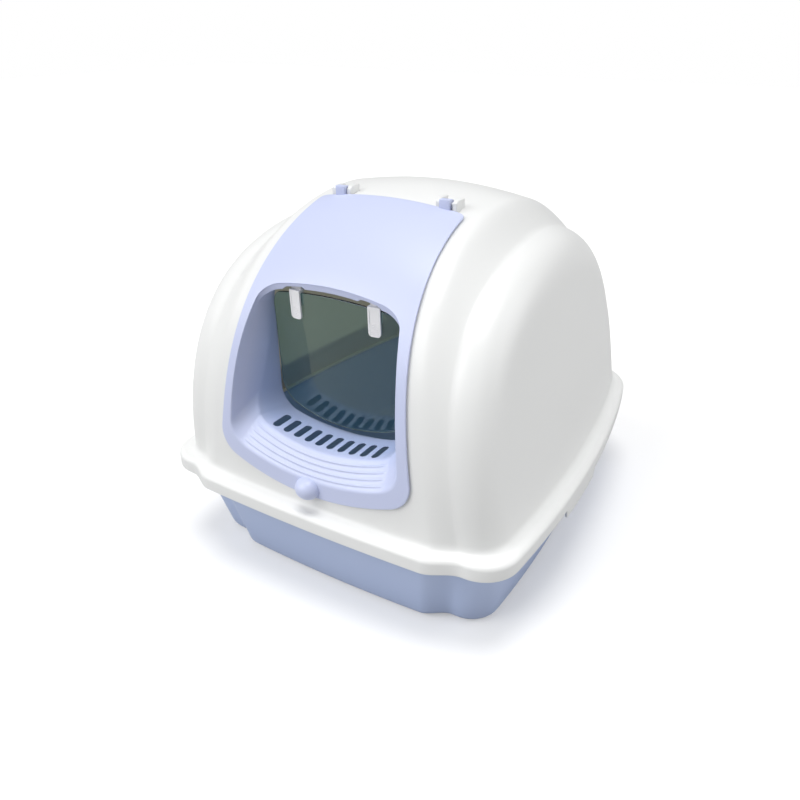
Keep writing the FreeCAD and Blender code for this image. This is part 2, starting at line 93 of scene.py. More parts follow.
def mesh_from_grid(name: str, grid: np.ndarray, close_rows: bool = False, close_columns: bool = False,
                   flip: bool = False) -> bpy.types.Object:
    """Smooth mesh object over a grid of points, with its coincident points merged.

    Args:
        name: name of the object.
        grid: points as rows, columns and three coordinates.
        close_rows: whether the last row joins the first.
        close_columns: whether each row is a closed loop.
        flip: whether the faces are turned over.

    Returns:
        The linked object, at the origin.
    """
    rows, columns, _ = grid.shape
    faces = grid_faces(rows, columns, close_rows, close_columns)
    if flip:
        faces = faces[:, ::-1]
    mesh = bpy.data.meshes.new(name)
    mesh.from_pydata(grid.reshape(-1, 3).tolist(), [], faces.tolist())
    shape = bmesh.new()
    shape.from_mesh(mesh)
    bmesh.ops.remove_doubles(shape, verts=shape.verts, dist=1e-6)
    bmesh.ops.dissolve_degenerate(shape, dist=1e-7, edges=shape.edges)
    shape.to_mesh(mesh)
    shape.free()
    mesh.shade_smooth()
    piece = bpy.data.objects.new(name, mesh)
    bpy.context.scene.collection.objects.link(piece)
    return piece


def prism_x(name: str, profile: np.ndarray, low_x: float, high_x: float) -> bpy.types.Object:
    """Straight prism of a closed outline in the upright middle plane, carried across the width.

    Args:
        name: name of the object.
        profile: outline as rows of depth and height, counter-clockwise seen from the right.
        low_x: left end.
        high_x: right end.

    Returns:
        The linked object with flat shading.
    """
    count = len(profile)
    ends = [np.column_stack([np.full(count, x), profile]) for x in (low_x, high_x)]
    sides = grid_faces(2, count, False, True).tolist()
    caps = [list(range(count - 1, -1, -1)), list(range(count, 2 * count))]
    mesh = bpy.data.meshes.new(name)
    mesh.from_pydata(np.concatenate(ends).tolist(), [], sides + caps)
    mesh.update()
    piece = bpy.data.objects.new(name, mesh)
    bpy.context.scene.collection.objects.link(piece)
    return piece


def apply_modifiers(piece: bpy.types.Object) -> None:
    """Turns a piece's modifiers into its mesh.

    Args:
        piece: the piece.
    """
    graph = bpy.context.evaluated_depsgraph_get()
    finished = bpy.data.meshes.new_from_object(piece.evaluated_get(graph), depsgraph=graph)
    piece.modifiers.clear()
    piece.data = finished


def cut_away(piece: bpy.types.Object, cutter: bpy.types.Object) -> None:
    """Takes a cutter's volume out of a piece and removes the cutter.

    Args:
        piece: the piece to cut.
        cutter: a closed mesh object.
    """
    cut = piece.modifiers.new("cut", "BOOLEAN")
    cut.operation = "DIFFERENCE"
    cut.solver = "EXACT"
    cut.object = cutter
    apply_modifiers(piece)
    piece.data.set_sharp_from_angle(angle=SHARP_EDGE_ANGLE)
    bpy.data.objects.remove(cutter)


def points_of(mesh: bpy.types.Mesh) -> np.ndarray:
    """Points of a mesh as rows of three coordinates.

    Args:
        mesh: the mesh.

    Returns:
        Array of points.
    """
    flat = np.empty(len(mesh.vertices) * 3, np.float32)
    mesh.vertices.foreach_get("co", flat)
    return flat.reshape(-1, 3).astype(float)


def join(pieces: list[bpy.types.Object]) -> bpy.types.Object:
    """Joins meshes into the first one.

    Args:
        pieces: mesh objects at the origin.

    Returns:
        The joined object.
    """
    shape = bmesh.new()
    for piece in pieces:
        shape.from_mesh(piece.data)
    shape.to_mesh(pieces[0].data)
    shape.free()
    for piece in pieces[1:]:
        bpy.data.objects.remove(piece)
    return pieces[0]


def quarter_round(radius: float, turn: float) -> tuple[float, float]:
    """Place on a quarter round between two faces.

    Args:
        radius: radius of the rounding.
        turn: from 0 at the first face to a quarter turn at the second.

    Returns:
        How far the place lies behind the first and the second face.
    """
    return radius * (1 - math.cos(turn)), radius * (1 - math.sin(turn))


def thicken(piece: bpy.types.Object, wall: float, inner_slot: int = 0, even: bool = True,
            group: str = "") -> None:
    """Gives an open skin its wall thickness behind its face.

    Args:
        piece: the skin.
        wall: thickness in metres.
        inner_slot: how many material slots further the inner face takes its finish from.
        even: whether the wall keeps its full thickness at bends.
        group: vertex group with the share of the thickness, if it differs.
    """
    shell = piece.modifiers.new("wall", "SOLIDIFY")
    shell.thickness = wall
    shell.offset = -1.0
    shell.use_even_offset = even
    shell.vertex_group = group
    shell.material_offset = inner_slot
    apply_modifiers(piece)


def soften(piece: bpy.types.Object, width: float, segments: int = 3) -> None:
    """Rounds a piece's sharp edges and smooths its shading.

    Args:
        piece: the piece.
        width: width of the rounding.
        segments: facets across the rounding.
    """
    bevel = piece.modifiers.new("soft_edges", "BEVEL")
    bevel.width = width
    bevel.segments = segments
    bevel.limit_method = "ANGLE"
    bevel.angle_limit = SOFT_EDGE_ANGLE
    bevel.harden_normals = False
    apply_modifiers(piece)
    piece.data.shade_smooth()


def settle(piece: bpy.types.Object, body: Body, slot: Slot, *materials: bpy.types.Material) -> None:
    """Puts finishes on a piece and lets it ride on its body.

    Args:
        piece: the finished piece.
        body: the body it moves with.
        slot: the record's slot that it stands for; not used.
        materials: the finishes for its material slots.
    """
    slots = piece.data.materials
    for index, material in enumerate(materials):
        if index < len(slots):
            slots[index] = material
        else:
            slots.append(material)
    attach(piece, body.value)
    log.info("%s: %d faces on %s", piece.name, len(piece.data.polygons), body.value)


def bisect(low: np.ndarray, high: np.ndarray,
           is_below: Callable[[np.ndarray], np.ndarray]) -> np.ndarray:
    """Halves the range between two arrays until is_below turns from true to false.

    Args:
        low: values where is_below holds.
        high: values where it doesn't.
        is_below: function of an array of trial values that gives an array of truths.

    Returns:
        The turning values.
    """
    low, high = np.array(low, float), np.array(high, float)
    for _ in range(50):
        middle = (low + high) / 2
        below = is_below(middle)
        low = np.where(below, middle, low)
        high = np.where(below, high, middle)
    return (low + high) / 2


def curve_between(start: np.ndarray, corner: np.ndarray, end: np.ndarray, steps: int) -> np.ndarray:
    """Rounds a corner: quadratic curve from start to end, drawn towards the corner.

    Args:
        start: points where the rounding leaves the first side.
        corner: the sharp corner points.
        end: points where it meets the second side.
        steps: number of intervals.

    Returns:
        Rows of points, from start to end.
    """
    share = np.linspace(0, 1, steps + 1)[:, None, None]
    return (1 - share) ** 2 * start + 2 * share * (1 - share) * corner + share ** 2 * end


@dataclass(frozen=True)
class ArchForm:
    """The arch that the hood and its cover share, in the frame of the part.

    Seen from the side, the arch is two quarters of a rounded oval that meet at the crest. Across the width it
    has a crowned band in the middle and steps back beside it.
    """

    half_width: float = 0.200
    half_depth: float = 0.23895
    rim_low: float = 0.090
    rim_top: float = 0.106
    ledge: float = 0.015
    side_bow: float = 1.300
    widest_y: float = -0.08126
    base: float = 0.060
    rise: float = 0.303
    crest_y: float = -0.02151
    front_fullness: tuple[float, float] = (2.02, 3.83)
    back_fullness: tuple[float, float] = (2.0, 2.1)
    side_draft: float = 0.146
    border_round: float = 0.034
    band_half_low: float = 0.122
    band_narrowing: float = 0.1428
    band_step_run: float = 0.036
    step_low: float = 0.014
    step_dip: float = 0.038
    step_curve: float = 0.056
    crown_low: float = 0.003
    crown_high: float = 0.008
    lobe_lift: float = 0.12

    @property
    def front_run(self) -> float:
        """Depth of the arch from its front foot to the crest.

        Returns:
            Length in metres.
        """
        return self.half_depth - self.ledge - self.crown_low + self.crest_y

    @property
    def back_run(self) -> float:
        """Depth of the arch from the crest to its back foot.

        Returns:
            Length in metres.
        """
        return self.half_depth - self.ledge - self.crown_low - self.crest_y

    def band_half(self, height: np.ndarray) -> np.ndarray:
        """Half width of the raised band at a height.

        Args:
            height: heights of the places.

        Returns:
            Half widths.
        """
        return self.band_half_low - self.band_narrowing * (height - self.rim_top)

    def across(self, reach: np.ndarray, height: np.ndarray) -> np.ndarray:
        """Place across the width of a line that starts at reach on the rim and leans in with the band.

        Args:
            reach: places across the rim where the lines start.
            height: heights of the places.

        Returns:
            Places across the width.
        """
        band = self.band_half(height)
        inside = reach * band / self.band_half_low
        outside = np.copysign(band + np.abs(reach) - self.band_half_low, reach)
        return np.where(np.abs(reach) <= self.band_half_low, inside, outside)

    def reach_of(self, x: np.ndarray, height: np.ndarray) -> np.ndarray:
        """Start on the rim of the band line that passes a place at a height.

        Args:
            x: places across the width.
            height: heights of the places.

        Returns:
            Places across the rim.
        """
        return x * self.band_half_low / self.band_half(height)

    def standing(self, reach: np.ndarray, height: np.ndarray) -> np.ndarray:
        """How far the skin stands out of the arch: a parabola on the band, a cosine step down beside it.

        Args:
            reach: places across the rim.
            height: heights of the places.

        Returns:
            Distances outside the plain arch.
        """
        share = np.clip((height - self.rim_top) / (self.base + self.rise - self.rim_top), 0, 1)
        beyond = np.abs(reach) - self.band_half_low
        crown_top = self.crown_low + (self.crown_high - self.crown_low) * share
        crown = crown_top * (1 - (reach / self.band_half_low) ** 2)
        step = self.step_low + share * (self.step_curve * share - self.step_dip)
        fall = (1 - np.cos(np.pi * np.clip(beyond / self.band_step_run, 0, 1))) / 2
        lobe = self.lobe_lift * share * np.maximum(beyond - self.band_step_run, 0) - step * fall
        return np.where(beyond <= 0, crown, lobe)

    def point(self, angle: np.ndarray, reach: np.ndarray, grow: float | np.ndarray) -> np.ndarray:
        """Points of the skin: the oval's point at an angle, moved out along its normal.

        Args:
            angle: from 0 at the front foot over the crest to pi at the back foot.
            reach: place across the rim where the line of the point starts.
            grow: distance outside the skin.

        Returns:
            Array of points.
        """
        angle, reach = np.broadcast_arrays(angle, reach)
        along, up = np.cos(angle), np.clip(np.sin(angle), 0, 1)
        front = along > 0
        wide = np.where(front, self.front_fullness[0], self.back_fullness[0])
        tall = np.where(front, self.front_fullness[1], self.back_fullness[1])
        run = np.where(front, self.front_run, self.back_run)
        u, w = np.abs(along) ** (2 / wide), up ** (2 / tall)
        lean_y = -np.sign(along) * wide * u ** (wide - 1) / run
        lean_z = tall * w ** (tall - 1) / self.rise
        length = np.hypot(lean_y, lean_z)
        height = self.base + w * self.rise
        out = self.standing(reach, height) + grow
        y = self.crest_y - np.sign(along) * u * run + lean_y / length * out
        z = height + lean_z / length * out
        return np.stack([self.across(reach, z), y, z], axis=-1)

    def angle_table(self) -> tuple[np.ndarray, np.ndarray]:
        """Fine table of angles and the length of the arch up to each, on the middle plane.

        Returns:
            Angles and lengths.
        """
        angle = np.pi * (1 - np.cos(np.linspace(0, np.pi, 6001))) / 2
        line = self.point(angle, np.zeros_like(angle), 0.0)
        length = np.concatenate([[0], np.cumsum(np.linalg.norm(np.diff(line, axis=0), axis=1))])
        return angle, length

    def angle_at(self, length: np.ndarray) -> np.ndarray:
        """Angle of the arch at a length from its front foot.

        Args:
            length: lengths along the arch.

        Returns:
            Angles.
        """
        angles, lengths = self.angle_table()
        return np.interp(length, lengths, angles)

    def length_at(self, angle: np.ndarray) -> np.ndarray:
        """Length of the arch from its front foot up to an angle.

        Args:
            angle: angles along the arch.

        Returns:
            Lengths.
        """
        angles, lengths = self.angle_table()
        return np.interp(angle, angles, lengths)

    def front_angle(self, x: np.ndarray, z: np.ndarray, grow: float) -> np.ndarray:
        """Angle of the front skin's point at a place across the band and a height.

        Args:
            x: places across the width.
            z: heights.
            grow: distance outside the skin.

        Returns:
            Angles.
        """
        reach = self.reach_of(x, z)
        return bisect(np.zeros_like(z), np.full_like(z, np.pi / 2),
                      lambda angle: self.point(angle, reach, grow)[..., 2] < z)

    def side(self, half: float | np.ndarray, y: np.ndarray) -> np.ndarray:
        """Place of a bowed side that is half wide where it is widest: a wide arc in plan.

        Args:
            half: half width where the side is widest.
            y: depths.

        Returns:
            Places across the width.
        """
        return half - self.side_bow + np.sqrt(self.side_bow ** 2 - (y - self.widest_y) ** 2)

    def wall(self, y: np.ndarray, z: np.ndarray) -> np.ndarray:
        """Place of the right side wall, bowed in plan and leaning in with its draft.

        Args:
            y: depths.
            z: heights.

        Returns:
            Places across the width.
        """
        return self.side(self.half_width - self.ledge - self.side_draft * (z - self.rim_top), y)


ARCH = ArchForm()


@dataclass(frozen=True)
class RimPath:
    """Plan outline of the rim: bowed sides, stepped ends and round corners, drawn as one closed loop."""

    front_corner: float = 0.036
    back_corner: float = 0.062
    least_corner: float = 0.004
    end_points: int = 90
    corner_points: int = 14
    side_points: int = 120

    def corner(self, half: float, end: float, radius: float, sign: int) -> tuple[float, float]:
        """Centre of a corner arc that touches the side and the flat outer part of an end.

        Args:
            half: half width of the loop.
            end: depth of the loop's end.
            radius: radius of the corner.
            sign: -1 at the front, 1 at the back.

        Returns:
            Place across and depth of the centre.
        """
        x = half - radius
        y = 0.0
        for _ in range(4):
            stand = float(ARCH.standing(np.array(x * ARCH.half_width / half), np.array(ARCH.rim_top)))
            y = sign * (end + stand - radius)
            center_x = half - ARCH.side_bow
            x = center_x + math.sqrt((ARCH.side_bow - radius) ** 2 - (y - ARCH.widest_y) ** 2)
        return x, y

    def loop(self, inset_side: float, inset_end: float, front_radius: float, back_radius: float,
             z: float) -> np.ndarray:
        """Closed loop of points, counter-clockwise seen from above, from the middle of the front.

        Args:
            inset_side: how far the sides are pulled in.
            inset_end: how far the ends are pulled in.
            front_radius: radius of the front corners.
            back_radius: radius of the back corners.
            z: height of the loop.

        Returns:
            Array of points.
        """
        half = ARCH.half_width - inset_side
        end = ARCH.half_depth - ARCH.crown_low - inset_end
        halves = []
        for sign, radius in ((-1, front_radius), (1, back_radius)):
            center_x, center_y = self.corner(half, end, radius, sign)
            lean = math.atan2(center_y - ARCH.widest_y, center_x - (half - ARCH.side_bow))
            turn = np.linspace(sign * math.pi / 2, lean, self.corner_points + 1)
            arc = np.column_stack([center_x + radius * np.cos(turn), center_y + radius * np.sin(turn)])
            x = np.linspace(0, center_x, self.end_points, endpoint=False)
            stand = ARCH.standing(x * ARCH.half_width / half, np.full_like(x, ARCH.rim_top))
            halves.append((np.column_stack([x, sign * (end + stand)]), arc))
        (front_end, front_arc), (back_end, back_arc) = halves
        y = np.linspace(front_arc[-1, 1], back_arc[-1, 1], self.side_points + 1)[1:-1]
        side = np.column_stack([ARCH.side(half, y), y])
        right = np.concatenate([front_end, front_arc, side, back_arc[::-1], back_end[::-1]])
        left = right[-2:0:-1] * [-1, 1]
        plan = np.concatenate([right, left])
        return np.column_stack([plan, np.full(len(plan), z)])


RIM = RimPath()


@dataclass(frozen=True)
class ShieldPath:
    """Outline seen from the front: wide arcs below and above, leaning sides and round corners.

    The loop runs counter-clockwise seen from the front: the lower arc, the right side, the upper arc
    and the left side.
    """

    half: float
    narrowing: float
    low: float
    low_radius: float
    high: float
    high_radius: float
    low_corner: float
    high_corner: float
    arc_points: int = 96
    corner_points: int = 20
    side_points: int = 48

    def corner(self, center: float, radius: float, corner: float,
               sign: int) -> tuple[np.ndarray, float, float]:
        """Centre of a right-hand corner and the directions in which it touches the wide arc and the side.

        Args:
            center: height of the wide arc's centre.
            radius: radius of the wide arc.
            corner: radius of the corner.
            sign: -1 for the lower corner, 1 for the upper one.

        Returns:
            The centre and the two directions in radians.
        """
        slant = math.hypot(1, self.narrowing)
        start = self.half - corner * slant
        middle = start * self.narrowing + center
        spread = middle ** 2 - slant ** 2 * (start ** 2 + center ** 2 - (radius - corner) ** 2)
        z = (middle + sign * math.sqrt(spread)) / slant ** 2
        x = start - self.narrowing * z
        return np.array([x, z]), math.atan2(z - center, x), math.atan2(self.narrowing, 1)

    def loop(self) -> np.ndarray:
        """Points of the outline as rows of place across and height.

        Returns:
            Array of points.
        """
        low_center, high_center = self.low + self.low_radius, self.high - self.high_radius
        low_heart, low_turn, side_turn = self.corner(low_center, self.low_radius, self.low_corner, -1)
        high_heart, high_turn, _ = self.corner(high_center, self.high_radius, self.high_corner, 1)

        def arc(heart: np.ndarray, radius: float, start: float, end: float, count: int) -> np.ndarray:
            """Points on a part of a circle, without its last point.

            Args:
                heart: centre.
                radius: radius.
                start: first direction.
                end: last direction.
                count: number of points.

            Returns:
                Array of points.
            """
            turn = np.linspace(start, end, count, endpoint=False)
            return np.column_stack([heart[0] + radius * np.cos(turn), heart[1] + radius * np.sin(turn)])

        def tip(heart: np.ndarray, radius: float, turn: float) -> np.ndarray:
            """Point of a circle in a direction.

            Args:
                heart: centre.
                radius: radius.
                turn: direction.

            Returns:
                The point.
            """
            return heart + radius * np.array([math.cos(turn), math.sin(turn)])

        below = arc(np.array([0, low_center]), self.low_radius, -math.pi - low_turn, low_turn,
                    self.arc_points)
        low_right = arc(low_heart, self.low_corner, low_turn, side_turn, self.corner_points)
        start, end = tip(low_heart, self.low_corner, side_turn), tip(high_heart, self.high_corner, side_turn)
        side = start + (end - start) * np.linspace(0, 1, self.side_points, endpoint=False)[:, None]
        high_right = arc(high_heart, self.high_corner, side_turn, high_turn, self.corner_points)
        above = arc(np.array([0, high_center]), self.high_radius, high_turn, math.pi - high_turn,
                    self.arc_points)
        mirror = np.array([-1, 1])
        first_left = tip(high_heart, self.high_corner, high_turn)[None] * mirror
        left = np.concatenate([low_right, side, high_right])[::-1][:-1] * mirror
        return np.concatenate([below, low_right, side, high_right, above, first_left, left])


def set_inputs(node: bpy.types.Node, values: dict[str | int, object]) -> None:
    """Sets values of a node's inputs.

    Args:
        node: the node.
        values: values by the names or numbers of the inputs.
    """
    for socket, value in values.items():
        node.inputs[socket].default_value = value


def add_node(tree: bpy.types.NodeTree, kind: str, values: dict[str | int, object] | None = None,
             **settings: object) -> bpy.types.Node:
    """Adds a node to a tree.

    Args:
        tree: the tree.
        kind: the node's type.
        values: values of its inputs.
        settings: its other properties, set before the inputs.

    Returns:
        The new node.
    """
    node = tree.nodes.new(kind)
    for name, value in settings.items():
        setattr(node, name, value)
    set_inputs(node, values or {})
    return node


def wire(tree: bpy.types.NodeTree, *links: tuple) -> None:
    """Links nodes of a tree.

    Args:
        tree: the tree.
        links: each one a node, its output, the next node and that node's input.
    """
    for source, output, target, entry in links:
        tree.links.new(source.outputs[output], target.inputs[entry])


class GrainGroup:
    """Node group of a moulded plastic surface: fine grain, slow unevenness and a faint change of tone."""

    name = "moulded_grain"
    slow_scale = 9.0
    slow_detail = 3.0
    fine_detail = 2.0

    @classmethod
    def get(cls) -> bpy.types.NodeTree:
        """The group, built on its first use.

        Returns:
            The shared node tree.
        """
        if cls.name in bpy.data.node_groups:
            return bpy.data.node_groups[cls.name]
        tree = bpy.data.node_groups.new(cls.name, "ShaderNodeTree")
        for socket, kind, value in (("Tone", "NodeSocketColor", (0.5, 0.5, 0.5, 1)),
                                    ("Shade", "NodeSocketColor", (0.4, 0.4, 0.4, 1)),
                                    ("Roughness", "NodeSocketFloat", 0.4),
                                    ("Unevenness", "NodeSocketFloat", 0.1),
                                    ("Grain Scale", "NodeSocketFloat", 900.0),
                                    ("Grain Depth", "NodeSocketFloat", 0.1)):
            tree.interface.new_socket(socket, in_out="INPUT", socket_type=kind).default_value = value
        for socket, kind in (("Color", "NodeSocketColor"), ("Roughness", "NodeSocketFloat"),
                             ("Height", "NodeSocketFloat")):
            tree.interface.new_socket(socket, in_out="OUTPUT", socket_type=kind)
        inputs, outputs = add_node(tree, "NodeGroupInput"), add_node(tree, "NodeGroupOutput")
        place = add_node(tree, "ShaderNodeTexCoord")
        slow = add_node(tree, "ShaderNodeTexNoise", {"Scale": cls.slow_scale, "Detail": cls.slow_detail})
        fine = add_node(tree, "ShaderNodeTexNoise", {"Detail": cls.fine_detail})
        tone = add_node(tree, "ShaderNodeMix", data_type="RGBA")
        center = add_node(tree, "ShaderNodeMath", {1: 0.5}, operation="SUBTRACT")
        rough = add_node(tree, "ShaderNodeMath", operation="MULTIPLY_ADD")
        depth = add_node(tree, "ShaderNodeMath", operation="MULTIPLY")
        wire(tree, (place, "Object", slow, "Vector"), (place, "Object", fine, "Vector"),
             (inputs, "Grain Scale", fine, "Scale"), (slow, "Fac", tone, "Factor"),
             (inputs, "Shade", tone, "A"), (inputs, "Tone", tone, "B"), (slow, "Fac", center, 0),
             (center, 0, rough, 0), (inputs, "Unevenness", rough, 1), (inputs, "Roughness", rough, 2),
             (fine, "Fac", depth, 0), (inputs, "Grain Depth", depth, 1), (tone, "Result", outputs, "Color"),
             (rough, 0, outputs, "Roughness"), (depth, 0, outputs, "Height"))
        return tree


@dataclass(frozen=True)
class PlasticFinish:
    """Satin moulded plastic.

    The tone changes slowly between the two colours, and a fine grain breaks up the gloss. It can also carry a
    painted glow on inside faces and painted shade deep in a recess.
    """

    name: str
    tone: tuple[float, float, float]
    shade: tuple[float, float, float]
    roughness: float = 0.38
    unevenness: float = 0.12
    grain_scale: float = 1100.0
    grain_depth: float = 0.12
    bump_strength: float = 0.15
    bump_distance: float = 0.0004
    refraction: float = 1.49
    gloss: float = 0.65
    # Painted glow: emission strength, its colour, the height where it starts and the blend over which it
    # fades in.
    glow: float = 0.0
    glow_tone: tuple[float, float, float] = (1.0, 1.0, 1.0)
    glow_from: float = -1.0
    glow_blend: float = 0.006
    # Colour of the painted shade deep in a recess, if any.
    recess_shade_tone: tuple[float, float, float] | None = None

    def material(self) -> bpy.types.Material:
        """The finish as a node material.

        Returns:
            The new material.
        """
        made = bpy.data.materials.new(self.name)
        made.use_nodes = True
        tree = made.node_tree
        shader = tree.nodes["Principled BSDF"]
        set_inputs(shader, {"IOR": self.refraction, "Specular IOR Level": self.gloss})
        values = {"Tone": (*self.tone, 1), "Shade": (*self.shade, 1), "Roughness": self.roughness,
                  "Unevenness": self.unevenness, "Grain Scale": self.grain_scale,
                  "Grain Depth": self.grain_depth}
        grain = add_node(tree, "ShaderNodeGroup", values, node_tree=GrainGroup.get())
        bump = add_node(tree, "ShaderNodeBump",
                        {"Strength": self.bump_strength, "Distance": self.bump_distance})
        if self.recess_shade_tone:
            self.add_painted_recess_shade(tree, grain, shader)
        else:
            wire(tree, (grain, "Color", shader, "Base Color"))
        wire(tree, (grain, "Roughness", shader, "Roughness"), (grain, "Height", bump, "Height"),
             (bump, "Normal", shader, "Normal"))
        if self.glow:
            self.add_painted_glow(tree, shader)
        return made

    def add_painted_recess_shade(self, tree: bpy.types.NodeTree, grain: bpy.types.Node, shader: bpy.types.Node) -> None:
        """Painted shade in a recess: a fuller, darker tone mixed in by the share that the mesh keeps in its
        own attribute.

        Args:
            tree: the material's nodes.
            grain: the node that gives the plain tone.
            shader: the surface shader.
        """
        share = add_node(tree, "ShaderNodeAttribute", attribute_name=PAINTED_SHADE_ATTRIBUTE)
        deep = add_node(tree, "ShaderNodeMix", {"B": (*self.recess_shade_tone, 1)}, data_type="RGBA")
        wire(tree, (share, "Fac", deep, "Factor"), (grain, "Color", deep, "A"),
             (deep, "Result", shader, "Base Color"))

    def add_painted_glow(self, tree: bpy.types.NodeTree, shader: bpy.types.Node) -> None:
        """Painted glow: emission that stands in for light coming through a thin wall, starting above a height
        so the part below stays in painted shade where the rim shades it.

        Args:
            tree: the material's nodes.
            shader: the surface shader.
        """
        place, axes = add_node(tree, "ShaderNodeTexCoord"), add_node(tree, "ShaderNodeSeparateXYZ")
        rise = add_node(tree, "ShaderNodeMapRange",
                        {"From Min": self.glow_from, "From Max": self.glow_from + self.glow_blend})
        lit = add_node(tree, "ShaderNodeMix", {"A": (0, 0, 0, 1), "B": (*self.glow_tone, 1)},
                       data_type="RGBA")
        wire(tree, (place, "Object", axes, "Vector"), (axes, "Z", rise, "Value"),
             (rise, "Result", lit, "Factor"), (lit, "Result", shader, "Emission Color"))
        set_inputs(shader, {"Emission Strength": self.glow})


@dataclass(frozen=True)
class SmokedFinish:
    """Clear smoked sheet: coloured glass with a smooth face and faint cloudiness."""

    name: str
    tint: tuple[float, float, float]
    haze: tuple[float, float, float]
    roughness: float = 0.03
    unevenness: float = 0.02
    refraction: float = 1.49

    def material(self) -> bpy.types.Material:
        """The finish as a node material.

        Returns:
            The new material.
        """
        made = bpy.data.materials.new(self.name)
        made.use_nodes = True
        tree = made.node_tree
        shader = tree.nodes["Principled BSDF"]
        set_inputs(shader, {"IOR": self.refraction, "Transmission Weight": 1.0})
        values = {"Tone": (*self.tint, 1), "Shade": (*self.haze, 1), "Roughness": self.roughness,
                  "Unevenness": self.unevenness}
        grain = add_node(tree, "ShaderNodeGroup", values, node_tree=GrainGroup.get())
        wire(tree, (grain, "Color", shader, "Base Color"), (grain, "Roughness", shader, "Roughness"))
        return made


@dataclass
class Finishes:
    """All finishes of the box."""

    hood: bpy.types.Material = field(default_factory=lambda: PlasticFinish(
        "white_plastic", (0.805, 0.812, 0.808), (0.785, 0.793, 0.788)).material())
    # Inner face of the hood: a darker copy of the white plastic as painted shade, with a warm painted glow
    # above the rim's height in place of light coming through the wall.
    hood_inside: bpy.types.Material = field(default_factory=lambda: PlasticFinish(
        "white_plastic_inside_painted_glow", (0.64, 0.63, 0.59), (0.62, 0.61, 0.57), 0.5, glow=0.085,
        glow_tone=(1.0, 0.92, 0.60), glow_from=0.136).material())
    # The cover's recess gets painted shade: a fuller, darker blue mixed in deeper behind the panel's face.
    cover: bpy.types.Material = field(default_factory=lambda: PlasticFinish(
        "lavender_plastic", (0.562, 0.610, 0.822), (0.542, 0.592, 0.810),
        recess_shade_tone=(0.430, 0.52, 0.79)).material())
    tray: bpy.types.Material = field(default_factory=lambda: PlasticFinish(
        "tray_plastic", (0.47, 0.56, 0.79), (0.45, 0.54, 0.77), 0.42).material())
    # Inner face of the tray: a darker copy of the tray plastic as painted shade, with a faint blue painted
    # glow in place of light coming through the wall.
    tray_inside: bpy.types.Material = field(default_factory=lambda: PlasticFinish(
        "tray_plastic_inside_painted_glow", (0.40, 0.48, 0.69), (0.38, 0.46, 0.67), 0.45, glow=0.038,
        glow_tone=(0.08, 0.40, 0.86)).material())
    clip: bpy.types.Material = field(default_factory=lambda: PlasticFinish(
        "clip_plastic", (0.90, 0.90, 0.91), (0.87, 0.87, 0.89), 0.45).material())
    flap: bpy.types.Material = field(default_factory=lambda: SmokedFinish(
        "smoked_sheet", (0.54, 0.77, 0.75), (0.52, 0.745, 0.73)).material())


